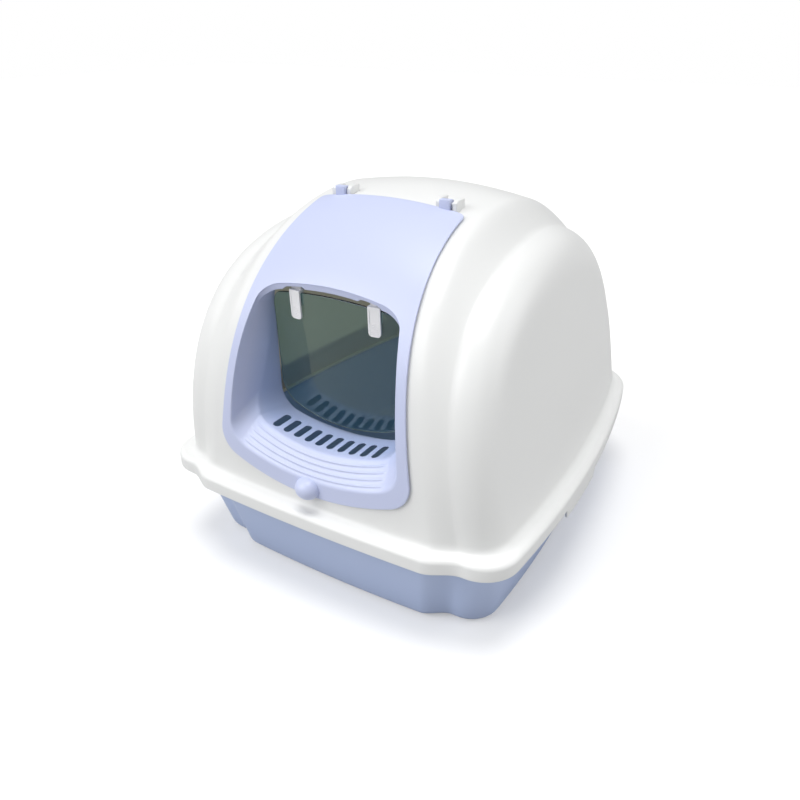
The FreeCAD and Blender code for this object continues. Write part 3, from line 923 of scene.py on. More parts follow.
@dataclass
class Hood:
    """Arched hood: shell with the entry opening, rounding at its foot, skirt and hinge lugs."""

    wall: float = 0.0026
    stations: int = 150
    arch_columns: int = 70
    round_columns: int = 14
    wall_columns: int = 30
    ledge_round: float = 0.005
    foot_round: float = 0.0075
    foot_rows: int = 10
    least_reach: float = 0.08
    most_reach: float = 0.30
    wall_probe: float = 0.02
    steepest: float = 0.8
    cut_front: float = -0.30
    cut_back: float = -0.07
    skirt_wall: float = 0.0026
    skirt_lip: float = 0.0008
    ledge_tuck: float = 0.006
    side_share: float = 0.9
    tab_blend: float = 0.01
    tab_length: float = 0.088
    tab_drop: float = 0.010
    tab_round: float = 0.004

    def shell_grid(self) -> np.ndarray:
        """Points of the shell, in rows that run over the hood from the left wall's foot to the right wall's.

        A row follows the arch's skin across, rounds the border and runs down the wall to one point at
        its foot.

        Returns:
            Grid of points, rows from the front foot to the back foot.
        """
        arch = ARCH
        dense = arch.angle_at(np.linspace(0, arch.angle_table()[1][-1], 4000))
        heights = arch.point(dense, np.zeros_like(dense), 0.0)[:, 2]
        above = dense[heights >= arch.rim_top]
        length = arch.length_at(np.array([above[0], above[-1]]))
        angle = arch.angle_at(np.linspace(length[0], length[1], self.stations))
        corner_reach = bisect(np.full_like(angle, self.least_reach), np.full_like(angle, self.most_reach),
                              lambda reach: self.inside(angle, reach))
        corner = arch.point(angle, corner_reach, 0.0)
        pole = np.array([0.0, arch.crest_y, arch.rim_top])
        to_pole = pole - corner
        nudge = 0.001
        along = corner - arch.point(angle, corner_reach - nudge, 0.0)
        pace = np.linalg.norm(along, axis=1) / nudge
        along /= np.linalg.norm(along, axis=1)[:, None]
        step = corner + to_pole * self.wall_probe
        step[:, 0] = arch.wall(step[:, 1], step[:, 2])
        down = step - corner
        down /= np.linalg.norm(down, axis=1)[:, None]
        edge = np.gradient(corner, axis=0)
        edge /= np.linalg.norm(edge, axis=1)[:, None]
        square = np.sqrt(1 - np.clip((down * edge).sum(1), -self.steepest, self.steepest) ** 2)
        turn = np.arccos(np.clip((along * down).sum(1), -1, 1))
        reach_back = arch.border_round * np.tan(turn / 2)
        start_reach = corner_reach - reach_back / pace
        share = np.linspace(0, 1, self.arch_columns)
        skin = arch.point(angle[:, None], start_reach[:, None] * share, 0.0)
        ray = np.hypot(to_pole[:, 1], to_pole[:, 2])
        first = np.minimum(reach_back / square / ray, self.steepest)
        depth = first[:, None] + (1 - first[:, None]) * np.linspace(0, 1, self.wall_columns)
        wall = corner[:, None] + to_pole[:, None] * depth[..., None]
        wall[..., 0] = arch.wall(wall[..., 1], wall[..., 2])
        rounding = curve_between(skin[:, -1], corner, wall[:, 0], self.round_columns)
        rounding = np.moveaxis(rounding, 0, 1)[:, 1:-1]
        right = np.concatenate([skin, rounding, wall], axis=1)
        left = right[:, :0:-1] * np.array([-1, 1, 1])
        return np.concatenate([left, right], axis=1)

    def inside(self, angle: np.ndarray, reach: np.ndarray) -> np.ndarray:
        """Whether points of the skin still lie inside the side wall.

        Args:
            angle: angles along the arch.
            reach: places across the rim.

        Returns:
            Array of truths.
        """
        spot = ARCH.point(angle, reach, 0.0)
        return spot[:, 0] < ARCH.wall(spot[:, 1], spot[:, 2])

    def build_shell(self, opening: ShieldPath) -> bpy.types.Object:
        """The shell with its wall and the entry opening.

        Args:
            opening: outline of the opening seen from the front.

        Returns:
            The shell object.
        """
        grid = self.shell_grid()
        shell = mesh_from_grid("hood_shell", grid)
        for _ in range(2):
            shell.data.materials.append(None)
        # The inner face takes the second slot: the inside finish with painted shade and a painted glow.
        thicken(shell, self.wall, 1)
        outline = opening.loop()
        sides = np.stack([np.column_stack([outline[:, 0], np.full(len(outline), y), outline[:, 1]])
                          for y in (self.cut_front, self.cut_back)])
        middle = sides.mean(axis=1, keepdims=True).repeat(sides.shape[1], axis=1)
        levels = np.concatenate([middle[:1], sides, middle[1:]])
        cutter = mesh_from_grid("opening", levels, close_columns=True, flip=True)
        cut_away(shell, cutter)
        return shell

    def build_foot(self) -> bpy.types.Object:
        """Hollow rounding where the walls meet the ledge, carried along the foot line.

        Returns:
            The rounding object.
        """
        grid = self.shell_grid()
        line = np.concatenate([grid[0], grid[-1, -2:0:-1]])
        line[:, 2] = ARCH.rim_top
        ahead = np.roll(line, -1, axis=0) - np.roll(line, 1, axis=0)
        ahead /= np.linalg.norm(ahead, axis=1)[:, None]
        level = np.zeros(len(line))
        out = np.column_stack([ahead[:, 1], -ahead[:, 0], level])
        drafted = np.column_stack([-ARCH.side_draft * np.sign(line[:, 0]), level, level + 1])
        rise = np.concatenate([grid[1] - grid[0], (grid[-2] - grid[-1])[-2:0:-1]])
        columns = np.arange(grid.shape[1])
        on_wall = np.minimum(columns, columns[::-1]) < self.wall_columns
        rise = np.where(np.concatenate([on_wall, on_wall[-2:0:-1]])[:, None], drafted, rise)
        rise -= ahead * (rise * ahead).sum(1)[:, None]
        rise /= np.linalg.norm(rise, axis=1)[:, None]
        above, beside = line + rise * self.foot_round, line + out * self.foot_round
        rows = curve_between(above, line, beside, self.foot_rows)
        return mesh_from_grid("hood_foot_rounding", rows, close_columns=True, flip=True)

    def tab(self, y: np.ndarray) -> np.ndarray:
        """How far the skirt hangs deeper at a tab: flat in its middle, a quarter round at each end.

        Args:
            y: depths.

        Returns:
            Drops in metres.
        """
        inward = np.minimum(y - ARCH.widest_y, ARCH.widest_y + self.tab_length - y)
        rise = np.clip(inward / self.tab_round, 0, 1)
        rounded = self.tab_drop - self.tab_round * (1 - np.sqrt(1 - (1 - rise) ** 2))
        return np.where(inward > 0, rounded, 0)

    def build_skirt(self) -> bpy.types.Object:
        """Ledge and hanging band: a profile of insets and heights carried round the rim.

        Returns:
            The skirt object.
        """
        round_turn = np.linspace(0, np.pi / 2, 9)
        top, low = ARCH.rim_top, ARCH.rim_low
        inner = ARCH.ledge + self.ledge_tuck
        profile = [(inner, top, 0.0)]
        profile += [(ARCH.ledge * share, top, 0.0) for share in (1.0, 0.7, 0.45)]
        for turn in round_turn[::-1]:
            inset, sink = quarter_round(self.ledge_round, turn)
            profile.append((inset, top - sink, 0.0))
        for share, hang in ((0.6, 0.2), (0.3, 0.6), (0.08, 1.0)):
            profile.append((0.0, low + share * self.tab_blend, hang))
        for turn in round_turn[::2]:
            inset, rise = quarter_round(self.skirt_lip, turn)
            profile.append((inset, low + rise, 1.0))
        under = top - self.skirt_wall
        profile += [(self.skirt_wall, low + self.skirt_lip / 2, 1.0), (self.skirt_wall, under, 0.0),
                    (inner, under, 0.0)]
        rows = []
        for inset, z, hang in profile:
            front_corner = max(RIM.front_corner - inset, RIM.least_corner)
            back_corner = max(RIM.back_corner - inset, RIM.least_corner)
            row = RIM.loop(inset, inset, front_corner, back_corner, z)
            on_side = np.abs(row[:, 0]) > ARCH.half_width * self.side_share
            row[:, 2] -= np.where(on_side, self.tab(row[:, 1]) * hang, 0)
            rows.append(row)
        return mesh_from_grid("hood_skirt", np.stack(rows), close_rows=True, close_columns=True, flip=True)

    def dress(self, finishes: Finishes, opening: ShieldPath, hinges: "Hinges") -> None:
        """Builds the hood's pieces, gives them their finish and lets them stand for the solid hood.

        Args:
            finishes: the finishes.
            opening: outline of the entry opening.
            hinges: the hinges, which give the lugs.
        """
        pieces = [self.build_foot(), self.build_skirt()] + hinges.build_lugs()
        for piece in pieces:
            settle(piece, Body.HOOD, Slot.HOOD, finishes.hood)
        shell = self.build_shell(opening)
        settle(shell, Body.HOOD, Slot.HOOD, finishes.hood, finishes.hood_inside)
        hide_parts("hood")


@dataclass
class FrontCover:
    """Flip-up cover: a curved panel round a recessed entry with a sloped apron and a dished sill."""

    wall: float = 0.0026
    face: float = 0.0030
    border: float = 0.0083
    low: float = 0.121
    low_radius: float = 0.255
    corner: float = 0.026
    top_corner: float = 0.006
    top_y: float = -0.0805
    opening_margin: float = 0.006
    opening_rise: float = 0.026
    edge_path_high: float = 0.330
    recess_lean: float = 0.2385
    crease_low: float = 0.161
    crease_y: float = -0.2115
    crease_radius: float = 0.250
    crease_draw: float = 0.62
    crease_rise: float = 0.052
    crease_step: float = 0.0036
    back_y: float = -0.16657
    recess_half: float = 0.1118
    recess_narrowing: float = 0.1325
    recess_top: float = 0.302
    recess_top_radius: float = 0.300
    recess_corner: float = 0.026
    mouth_reach: float = 0.026
    mouth_spread: float = 0.007
    mouth_corner_gain: float = 0.004
    mouth_search: float = 1.6
    mouth_low: float = 0.1023
    mouth_low_radius: float = 0.190
    mouth_rise: float = 0.036
    back_half: float = 0.075
    back_top: float = 0.303
    back_corner_high: float = 0.012
    edge_round: float = 0.0012
    mouth_round: float = 0.0022
    lip_round: float = 0.0012
    lip_drop: float = 0.0046
    lip_share: float = 0.13
    lip_from: float = 0.276
    lip_run: float = 0.022
    crease_round: float = 0.0024
    slot_count: int = 10
    slot_pitch: float = 0.0125
    slot_width: float = 0.0073
    slot_length: float = 0.0234
    slot_y: float = -0.19106
    slot_flare: float = 0.0030
    slot_flare_depth: float = 0.0032
    slot_edge: float = 0.0004
    slot_peg_rise: float = 0.010
    rib_count: int = 4
    rib_low: float = 0.1425
    rib_pitch: float = 0.0046
    rib_height: float = 0.0008
    rib_waist: float = 0.0008
    rib_reach: float = 0.0725
    rib_fade: float = 0.003
    rib_zone: float = 0.03
    edge_rows: int = 6
    panel_rows: int = 22
    mouth_rows: int = 10
    apron_rows: int = 90
    crease_rows: int = 8
    funnel_rows: int = 14
    bend_share: float = 0.3
    thin_share: float = 0.25
    # Depth behind the panel's face where the painted shade starts, and how far it runs to full shade.
    shade_from_depth: float = 0.012
    shade_depth_run: float = 0.022

    @property
    def half_at_floor(self) -> float:
        """Half width of the panel's outline, drawn down to the floor.

        Returns:
            Half width in metres.
        """
        return ARCH.band_half_low - self.border + ARCH.band_narrowing * ARCH.rim_top

    def hood_opening(self) -> ShieldPath:
        """Outline of the opening that the cover closes.

        Returns:
            The outline seen from the front.
        """
        margin = self.opening_margin
        high = self.recess_top + self.opening_rise
        return ShieldPath(self.half_at_floor - margin, ARCH.band_narrowing, self.low + margin,
                          self.low_radius, high, self.recess_top_radius, self.corner - margin, self.corner)

    def crease_plane(self, z: np.ndarray) -> np.ndarray:
        """Depth of the leaning plane that the crease lies in.

        Args:
            z: heights.

        Returns:
            Depths.
        """
        return self.crease_y + self.recess_lean * (z - self.crease_low)

    def crease_loop(self) -> np.ndarray:
        """Line where the sloped mouth turns into the funnel.

        Returns:
            Array of points.
        """
        path = ShieldPath(self.recess_half, self.recess_narrowing, self.crease_low, self.crease_radius,
                          self.recess_top, self.recess_top_radius, self.recess_corner, self.recess_corner)
        outline = path.loop()
        return np.column_stack([outline[:, 0], self.crease_plane(outline[:, 1]), outline[:, 1]])

    def standing_crease(self, crease: np.ndarray, back: np.ndarray) -> np.ndarray:
        """Crease as it shows: drawn towards the doorway and inwards, the more the higher above the sill.

        Args:
            crease: points of the crease.
            back: points of the doorway's edge.

        Returns:
            The moved points.
        """
        rise = 1 - np.exp(-(crease[:, 2] - self.crease_low) / self.crease_rise)
        shown = crease + (back - crease) * (self.crease_draw * rise)[:, None]
        room = np.maximum(np.abs(shown[:, 0]) - self.back_half, 0)
        shown[:, 0] -= np.sign(shown[:, 0]) * np.minimum(self.crease_step * rise, room)
        return shown

    def back_loop(self) -> np.ndarray:
        """Edge of the doorway at the back of the recess.

        Returns:
            Array of points.
        """
        outline = ShieldPath(self.back_half, 0.0, self.crease_low, self.crease_radius, self.back_top,
                             self.recess_top_radius, self.recess_corner, self.back_corner_high).loop()
        return np.column_stack([outline[:, 0], np.full(len(outline), self.back_y), outline[:, 1]])

    def mouth_loop(self, crease: np.ndarray) -> np.ndarray:
        """Line where the sloped mouth comes out through the panel's face.

        Args:
            crease: points of the crease.

        Returns:
            Array of points.
        """
        corner = self.recess_corner + self.mouth_corner_gain
        outline = ShieldPath(self.recess_half + self.mouth_spread, self.recess_narrowing, self.mouth_low,
                             self.mouth_low_radius, self.recess_top + self.mouth_rise, self.recess_top_radius,
                             corner, corner).loop()
        depth = self.crease_plane(outline[:, 1]) - self.mouth_reach
        outer = np.column_stack([outline[:, 0], depth, outline[:, 1]])

        def within(share: np.ndarray) -> np.ndarray:
            """Whether points on the way out still lie behind the panel's face.

            Args:
                share: shares of the way from the crease.

            Returns:
                Array of truths.
            """
            spot = crease + (outer - crease) * share[:, None]
            angle = ARCH.front_angle(spot[:, 0], spot[:, 2], self.face)
            skin = ARCH.point(angle, ARCH.reach_of(spot[:, 0], spot[:, 2]), self.face)
            return spot[:, 1] > skin[:, 1]

        share = bisect(np.zeros(len(crease)), np.full(len(crease), self.mouth_search), within)
        return crease + (outer - crease) * share[:, None]

    def panel_place(self, points: np.ndarray) -> np.ndarray:
        """Reach and arch length of points on the panel's face.

        Args:
            points: points on the face.

        Returns:
            Rows of reach and arch length.
        """
        angle = ARCH.front_angle(points[:, 0], points[:, 2], self.face)
        return np.column_stack([ARCH.reach_of(points[:, 0], points[:, 2]), ARCH.length_at(angle)])

    def edge_places(self) -> np.ndarray:
        """Reach and arch length of the panel's outer edge, matched point by point to the recess's loops.

        Returns:
            Rows of reach and arch length.
        """
        path = ShieldPath(self.half_at_floor, ARCH.band_narrowing, self.low, self.low_radius,
                          self.edge_path_high, self.recess_top_radius, self.corner, self.corner)
        arc, corner, side = path.arc_points, path.corner_points, path.side_points
        outline = path.loop()
        lower = outline[:arc + corner + 1]
        low_places = self.panel_place(np.column_stack([lower[:, 0], np.zeros(len(lower)), lower[:, 1]]))
        crest = ARCH.base + ARCH.rise
        top_reach = ARCH.reach_of(np.array(self.half_at_floor - ARCH.band_narrowing * crest), np.array(crest))

        def top_length(reach: np.ndarray) -> np.ndarray:
            """Arch lengths at which the panel's straight top edge lies.

            Args:
                reach: places across the rim.

            Returns:
                Lengths.
            """
            angle = bisect(np.zeros_like(reach), np.full_like(reach, np.pi / 2),
                           lambda trial: ARCH.point(trial, reach, self.face)[..., 1] < self.top_y)
            return ARCH.length_at(angle)

        last = float(top_length(np.array([top_reach]))[0]) - self.top_corner
        length = np.linspace(low_places[-1, 1], last, side + 1)[1:]
        height = ARCH.point(ARCH.angle_at(length), np.full_like(length, top_reach), self.face)[:, 2]
        half = self.half_at_floor - ARCH.band_narrowing * height
        side_places = np.column_stack([ARCH.reach_of(half, height), length])
        turn = np.linspace(0, np.pi / 2, corner + 1)[1:]
        spread = ARCH.band_half_low / float(ARCH.band_half(np.array(crest)))
        corner_reach = side_places[-1, 0] - self.top_corner * spread * (1 - np.cos(turn))
        corner_places = np.column_stack([corner_reach, last + self.top_corner * np.sin(turn)])
        top = np.linspace(corner_reach[-1], -corner_reach[-1], arc + 1)[1:]
        top_places = np.column_stack([top, top_length(top)])
        mirror = np.array([-1, 1])
        left = np.concatenate([low_places[arc + 1:], side_places, corner_places])[::-1][1:] * mirror
        return np.concatenate([low_places, side_places, corner_places, top_places, left])

    def ribs(self, level: float, crease: np.ndarray) -> np.ndarray:
        """How far the apron's grip ribs stand out: bell curves about each rib's level, fading at the ends.

        Args:
            level: height of the row in the middle of the apron.
            crease: points of the crease, one for each column.

        Returns:
            Standing of each column.
        """
        levels = self.rib_low + self.rib_pitch * np.arange(self.rib_count)
        wave = np.exp(-((level - levels) / self.rib_waist) ** 2).sum()
        fade = np.clip((self.rib_reach - np.abs(crease[:, 0])) / self.rib_fade, 0, 1)
        return self.rib_height * wave * fade * (crease[:, 2] < self.crease_low + self.rib_zone)

    def build(self, flap: "SwingFlap") -> bpy.types.Object:
        """The cover as one skin: edge, panel, rounded mouth, apron, crease, funnel; then wall and slots.

        Args:
            flap: the flap, which gives the rooms over its clips.

        Returns:
            The cover object.
        """
        crease, back = self.crease_loop(), self.back_loop()
        mouth = self.mouth_loop(crease)
        crease = self.standing_crease(crease, back)
        edge_place, mouth_place = self.edge_places(), self.panel_place(mouth)

        def panel(share: np.ndarray, sink: float) -> np.ndarray:
            """Points of the panel between its outer edge and the mouth.

            Args:
                share: shares of the way from the edge to the mouth.
                sink: distance below the face.

            Returns:
                Array of points.
            """
            place = edge_place + (mouth_place - edge_place) * share[:, None]
            return ARCH.point(ARCH.angle_at(place[:, 1]), place[:, 0], self.face - sink)

        zero = np.zeros(len(mouth))
        width = np.linalg.norm(panel(zero, 0.0) - mouth, axis=1)
        rows = []
        for turn in np.linspace(0, np.pi / 2, self.edge_rows):
            inset, sink = quarter_round(self.edge_round, turn)
            rows.append(panel(inset / width, sink))
        lip = np.clip((mouth[:, 2] - self.lip_from) / self.lip_run, 0, 1)
        rounding = self.mouth_round + (self.lip_round - self.mouth_round) * lip ** 2 * (3 - 2 * lip)
        near = 1 - rounding / width
        first = self.edge_round / width
        for share in np.linspace(0, 1, self.panel_rows)[1:]:
            rows.append(panel(first + (near - first) * share, 0.0))
        slope = crease - mouth
        fall = np.linalg.norm(slope, axis=1)
        start = mouth + slope * (rounding / fall)[:, None]
        rows += list(curve_between(rows[-1], mouth, start, self.mouth_rows)[1:])
        crease_share = np.minimum(self.crease_round / fall, self.bend_share)
        before = mouth + slope * (1 - crease_share)[:, None]
        run = back - crease
        run_share = np.minimum(self.crease_round / np.linalg.norm(run, axis=1), self.bend_share)
        after = crease + run * run_share[:, None]
        normal = np.cross(np.roll(crease, -1, axis=0) - np.roll(crease, 1, axis=0), slope)
        normal /= np.linalg.norm(normal, axis=1)[:, None]
        middle = int(np.argmin(crease[:, 2]))
        for share in np.linspace(0, 1, self.apron_rows)[1:]:
            row = start + (before - start) * share
            row = row + normal * self.ribs(row[middle, 2], crease)[:, None]
            row[:, 2] -= self.lip_drop * lip * min(share / self.lip_share, (1 - share) / (1 - self.lip_share))
            rows.append(row)
        rows += list(curve_between(before, crease, after, self.crease_rows)[1:])
        rows += [after + (back - after) * share for share in np.linspace(0, 1, self.funnel_rows)[1:]]
        rows = [flap.lift_over_clips(row) for row in rows]
        cover = mesh_from_grid("front_cover_skin", np.stack(rows), close_columns=True)
        wall = cover.vertex_groups.new(name="wall")
        near = flap.near_clips(points_of(cover.data))
        wall.add(np.flatnonzero(~near).tolist(), 1.0, "REPLACE")
        wall.add(np.flatnonzero(near).tolist(), self.thin_share, "REPLACE")
        thicken(cover, self.wall, even=False, group=wall.name)
        cut_away(cover, join(self.slot_pegs()))
        self.mark_painted_shade_share(cover)
        return cover

    def mark_painted_shade_share(self, cover: bpy.types.Object) -> None:
        """Keeps with each point how deep it lies behind the panel's face, as a share from 0 to 1, which sets
        the painted shade in the recess.

        Args:
            cover: the finished cover.
        """
        mesh = cover.data
        spots = points_of(mesh)
        angle = ARCH.front_angle(spots[:, 0], spots[:, 2], self.face)
        face = ARCH.point(angle, ARCH.reach_of(spots[:, 0], spots[:, 2]), self.face)
        share = np.clip((spots[:, 1] - face[:, 1] - self.shade_from_depth) / self.shade_depth_run, 0, 1)
        share[spots[:, 2] > self.recess_top + self.mouth_rise] = 0
        mesh.attributes.new(PAINTED_SHADE_ATTRIBUTE, "FLOAT", "POINT").data.foreach_set("value", share.astype(np.float32))

    def slot_pegs(self) -> list[bpy.types.Object]:
        """Row of round-ended upright pegs in the shape of the drain slots.

        Returns:
            The peg objects.
        """
        turn = np.linspace(0, np.pi, 9)
        radius = self.slot_width / 2
        straight = self.slot_length / 2 - radius
        end = np.column_stack([radius * np.cos(turn), straight + radius * np.sin(turn)])
        index = np.arange(self.slot_count)
        pegs = []
        for x in (index - (self.slot_count - 1) / 2) * self.slot_pitch:
            flared = end + self.slot_flare * np.column_stack([np.cos(turn), np.sin(turn)])
            rings = []
            levels = (flared, self.slot_flare_depth), (end, self.slot_edge), (end, -self.slot_peg_rise)
            for half, depth in levels:
                ring = np.concatenate([half, -half]) + np.array([x, self.slot_y])
                bowl = self.crease_radius
                sill = self.crease_low + bowl - np.sqrt(bowl ** 2 - ring[:, 0] ** 2)
                rings.append(np.column_stack([ring, sill - depth]))
            caps = [ring.mean(axis=0)[None].repeat(len(ring), axis=0) for ring in (rings[0], rings[-1])]
            pegs.append(mesh_from_grid("slot", np.stack([caps[0], *rings, caps[1]]), close_columns=True))
        return pegs

    def dress(self, finishes: Finishes, hinges: "Hinges", flap: "SwingFlap") -> None:
        """Builds the cover and its knuckles and gives them their finish.

        Args:
            finishes: the finishes.
            hinges: the hinges, which give the knuckles.
            flap: the flap, which gives the rooms over its clips.
        """
        cover = self.build(flap)
        settle(cover, Body.COVER, Slot.COVER, finishes.cover)
        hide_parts("front_cover")
        for piece in hinges.build_knuckles():
            settle(piece, Body.COVER, Slot.COVER, finishes.cover)


@dataclass
class Hinges:
    """The two hinges at the cover's top edge: knuckles on the cover between lugs on the hood."""

    x: float = 0.0564
    y: float = -0.077
    z: float = 0.36693
    knuckle_width: float = 0.0104
    knuckle_radius: float = 0.0044
    knuckle_front: float = 0.0056
    lug_width: float = 0.0044
    lug_depth: float = 0.016
    lug_front: float = 0.0026
    inner_lug_height: float = 0.0044
    outer_lug_height: float = 0.0034
    root_depth: float = 0.0023
    gap: float = 0.0004
    outer_gap: float = 0.0012
    softness: float = 0.0005
    root_run: float = 0.003
    lug_foot: float = 0.012
    lug_nose: float = 0.0016
    lug_brow: float = 0.0008

    def arc(self, radius: float, start: float, end: float) -> np.ndarray:
        """Part of a circle round the hinge axis, as rows of depth and height.

        Args:
            radius: radius.
            start: first direction.
            end: last direction.

        Returns:
            Array of points.
        """
        turn = np.linspace(start, end, 9)
        return np.column_stack([self.y + radius * np.cos(turn), self.z + radius * np.sin(turn)])

    def soft_pair(self, name: str, profile: np.ndarray, low_x: float,
                  high_x: float) -> list[bpy.types.Object]:
        """A softened prism on the right and its twin on the left.

        Args:
            name: first part of the names.
            profile: outline as for prism_x.
            low_x: inner end of the right-hand prism.
            high_x: its outer end.

        Returns:
            The two objects.
        """
        pieces = [prism_x(name + "_right", profile, low_x, high_x),
                  prism_x(name + "_left", profile, -high_x, -low_x)]
        for piece in pieces:
            soften(piece, self.softness)
        return pieces

    def build_knuckles(self) -> list[bpy.types.Object]:
        """Knuckles with a round back, a square front and a root on the panel.

        Returns:
            The two objects.
        """
        radius = self.knuckle_radius
        face, root = self.y - self.knuckle_front, self.z - radius - self.root_depth
        front = np.array([[face, self.z + radius], [face, root], [face + self.root_run, root]])
        profile = np.concatenate([front, self.arc(radius, -math.pi / 2, math.pi / 2)])
        half = self.knuckle_width / 2
        return self.soft_pair("hinge_knuckle", profile, self.x - half, self.x + half)

    def build_lugs(self) -> list[bpy.types.Object]:
        """Lugs with a sloped front and a long top that runs into the hood.

        Returns:
            The four objects.
        """
        foot = self.z - self.lug_foot
        off = (self.knuckle_width + self.lug_width) / 2 + self.gap
        pieces = []
        start, end = self.y - self.lug_front, self.y - self.lug_front + self.lug_depth
        half = self.lug_width / 2
        inner = ("hinge_lug_inner", self.x - off, self.inner_lug_height)
        outer = ("hinge_lug_outer", self.x + off + self.outer_gap, self.outer_lug_height)
        for name, center, height in (inner, outer):
            top = self.z + height
            profile = np.array([[start, self.z + self.lug_nose], [start, foot], [end, foot], [end, top],
                                [self.y + self.lug_brow, top]])
            pieces += self.soft_pair(name, profile, center - half, center + half)
        return pieces


@dataclass
class LitterTray:
    """Deep tray: tapered walls, a rounded floor edge and the flange that carries the hood."""

    wall: float = 0.0028
    side_inset: float = 0.034
    end_inset: float = 0.040
    top_inset: float = 0.013
    corner: float = 0.030
    floor_round: float = 0.009
    inner_round_share: float = 0.7
    upright: float = 0.5
    flange_top: float = 0.1031
    flange_height: float = 0.0026
    flange_inset: float = 0.0038

    def level(self, inset: float, inwards: float, z: float) -> np.ndarray:
        """Loop of the tapered wall at a height, pulled in by inset and by a floor rounding.

        Args:
            inset: distance inside the outer face.
            inwards: further distance from a floor rounding.
            z: height of the loop.

        Returns:
            Array of points.
        """
        share = z / ARCH.rim_top
        side = self.side_inset + (self.top_inset - self.side_inset) * share + inset + inwards
        end = self.end_inset + (self.top_inset - self.end_inset) * share + inset + inwards
        radius = self.corner - inset - inwards
        return RIM.loop(side, end, radius, radius, z)

    def wall_rows(self, inset: float, low: float, high: float) -> list[np.ndarray]:
        """Loops from the floor's middle over its rounded edge up the wall.

        Args:
            inset: distance inside the outer face.
            low: height of the floor's face.
            high: height of the wall's top.

        Returns:
            Loops of points.
        """
        radius = self.floor_round - self.inner_round_share * inset
        rows = []
        for turn in np.linspace(0, np.pi / 2, 9):
            rise, inwards = quarter_round(radius, turn)
            rows.append(self.level(inset, inwards, low + rise))
        for share in np.linspace(0, 1, 9)[1:]:
            rows.append(self.level(inset, 0.0, low + radius + (high - low - radius) * share))
        floor = [rows[0] * np.array([share, share, 1]) for share in (0.0, 0.4, 0.8)]
        return floor + rows

    def build(self) -> bpy.types.Object:
        """The tray as one closed skin, from the middle of its underside to the middle of its floor.

        Returns:
            The tray object.
        """
        under = self.flange_top - self.flange_height
        outer = self.wall_rows(0.0, 0.0, under)
        inset = self.flange_inset
        corners = RIM.front_corner - inset, RIM.back_corner - inset
        flange = [RIM.loop(inset, inset, *corners, z) for z in (under, self.flange_top)]
        inner = self.wall_rows(self.wall, self.wall, self.flange_top)
        return mesh_from_grid("litter_tray_shell", np.stack(outer + flange + inner[::-1]), close_columns=True)

    def mark_inside(self, tray: bpy.types.Object) -> None:
        """Puts the floor and the inner walls on the second material slot, whose finish is darker as painted
        shade and has a painted glow.

        Args:
            tray: the finished tray.
        """
        for _ in range(2):
            tray.data.materials.append(None)
        for face in tray.data.polygons:
            outwards = face.normal.x * face.center.x + face.normal.y * face.center.y
            is_floor = face.normal.z > self.upright and face.center.z < ARCH.rim_low
            is_inner_wall = outwards < 0 and face.normal.z > -self.upright
            face.material_index = int(is_floor or is_inner_wall)

    def dress(self, finishes: Finishes) -> None:
        """Builds the tray and gives it its finish.

        Args:
            finishes: the finishes.
        """
        tray = self.build()
        self.mark_inside(tray)
        settle(tray, Body.TRAY, Slot.TRAY, finishes.tray, finishes.tray_inside)
        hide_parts("litter_tray")


@dataclass
class Knob:
    """Domed oval knob at the cover's lower edge."""

    half_width: float = 0.0125
    half_height: float = 0.0107
    height: float = 0.0115
    z: float = 0.1297
    base_y: float = -0.2270
    sunk: float = 0.0015

    def build(self) -> bpy.types.Object:
        """Half an ellipsoid on a short sunk collar: latitude by latitude from the collar to the tip.

        Returns:
            The knob object.
        """
        round_angle = np.linspace(0, 2 * np.pi, 64, endpoint=False)
        rise = np.linspace(0, np.pi / 2, 20)
        girth = np.concatenate([[1.0], np.cos(rise)])[:, None]
        depth = np.concatenate([[self.base_y + self.sunk], self.base_y - self.height * np.sin(rise)])[:, None]
        x = self.half_width * girth * np.cos(round_angle)
        z = self.z + self.half_height * girth * np.sin(round_angle)
        return mesh_from_grid("cover_knob_dome", np.stack([x, depth + 0 * x, z], axis=-1), close_columns=True)

    def dress(self, finishes: Finishes) -> None:
        """Builds the knob and gives it the cover's finish.

        Args:
            finishes: the finishes.
        """
        knob = self.build()
        settle(knob, Body.COVER, Slot.COVER, finishes.cover)
        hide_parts("cover_knob")


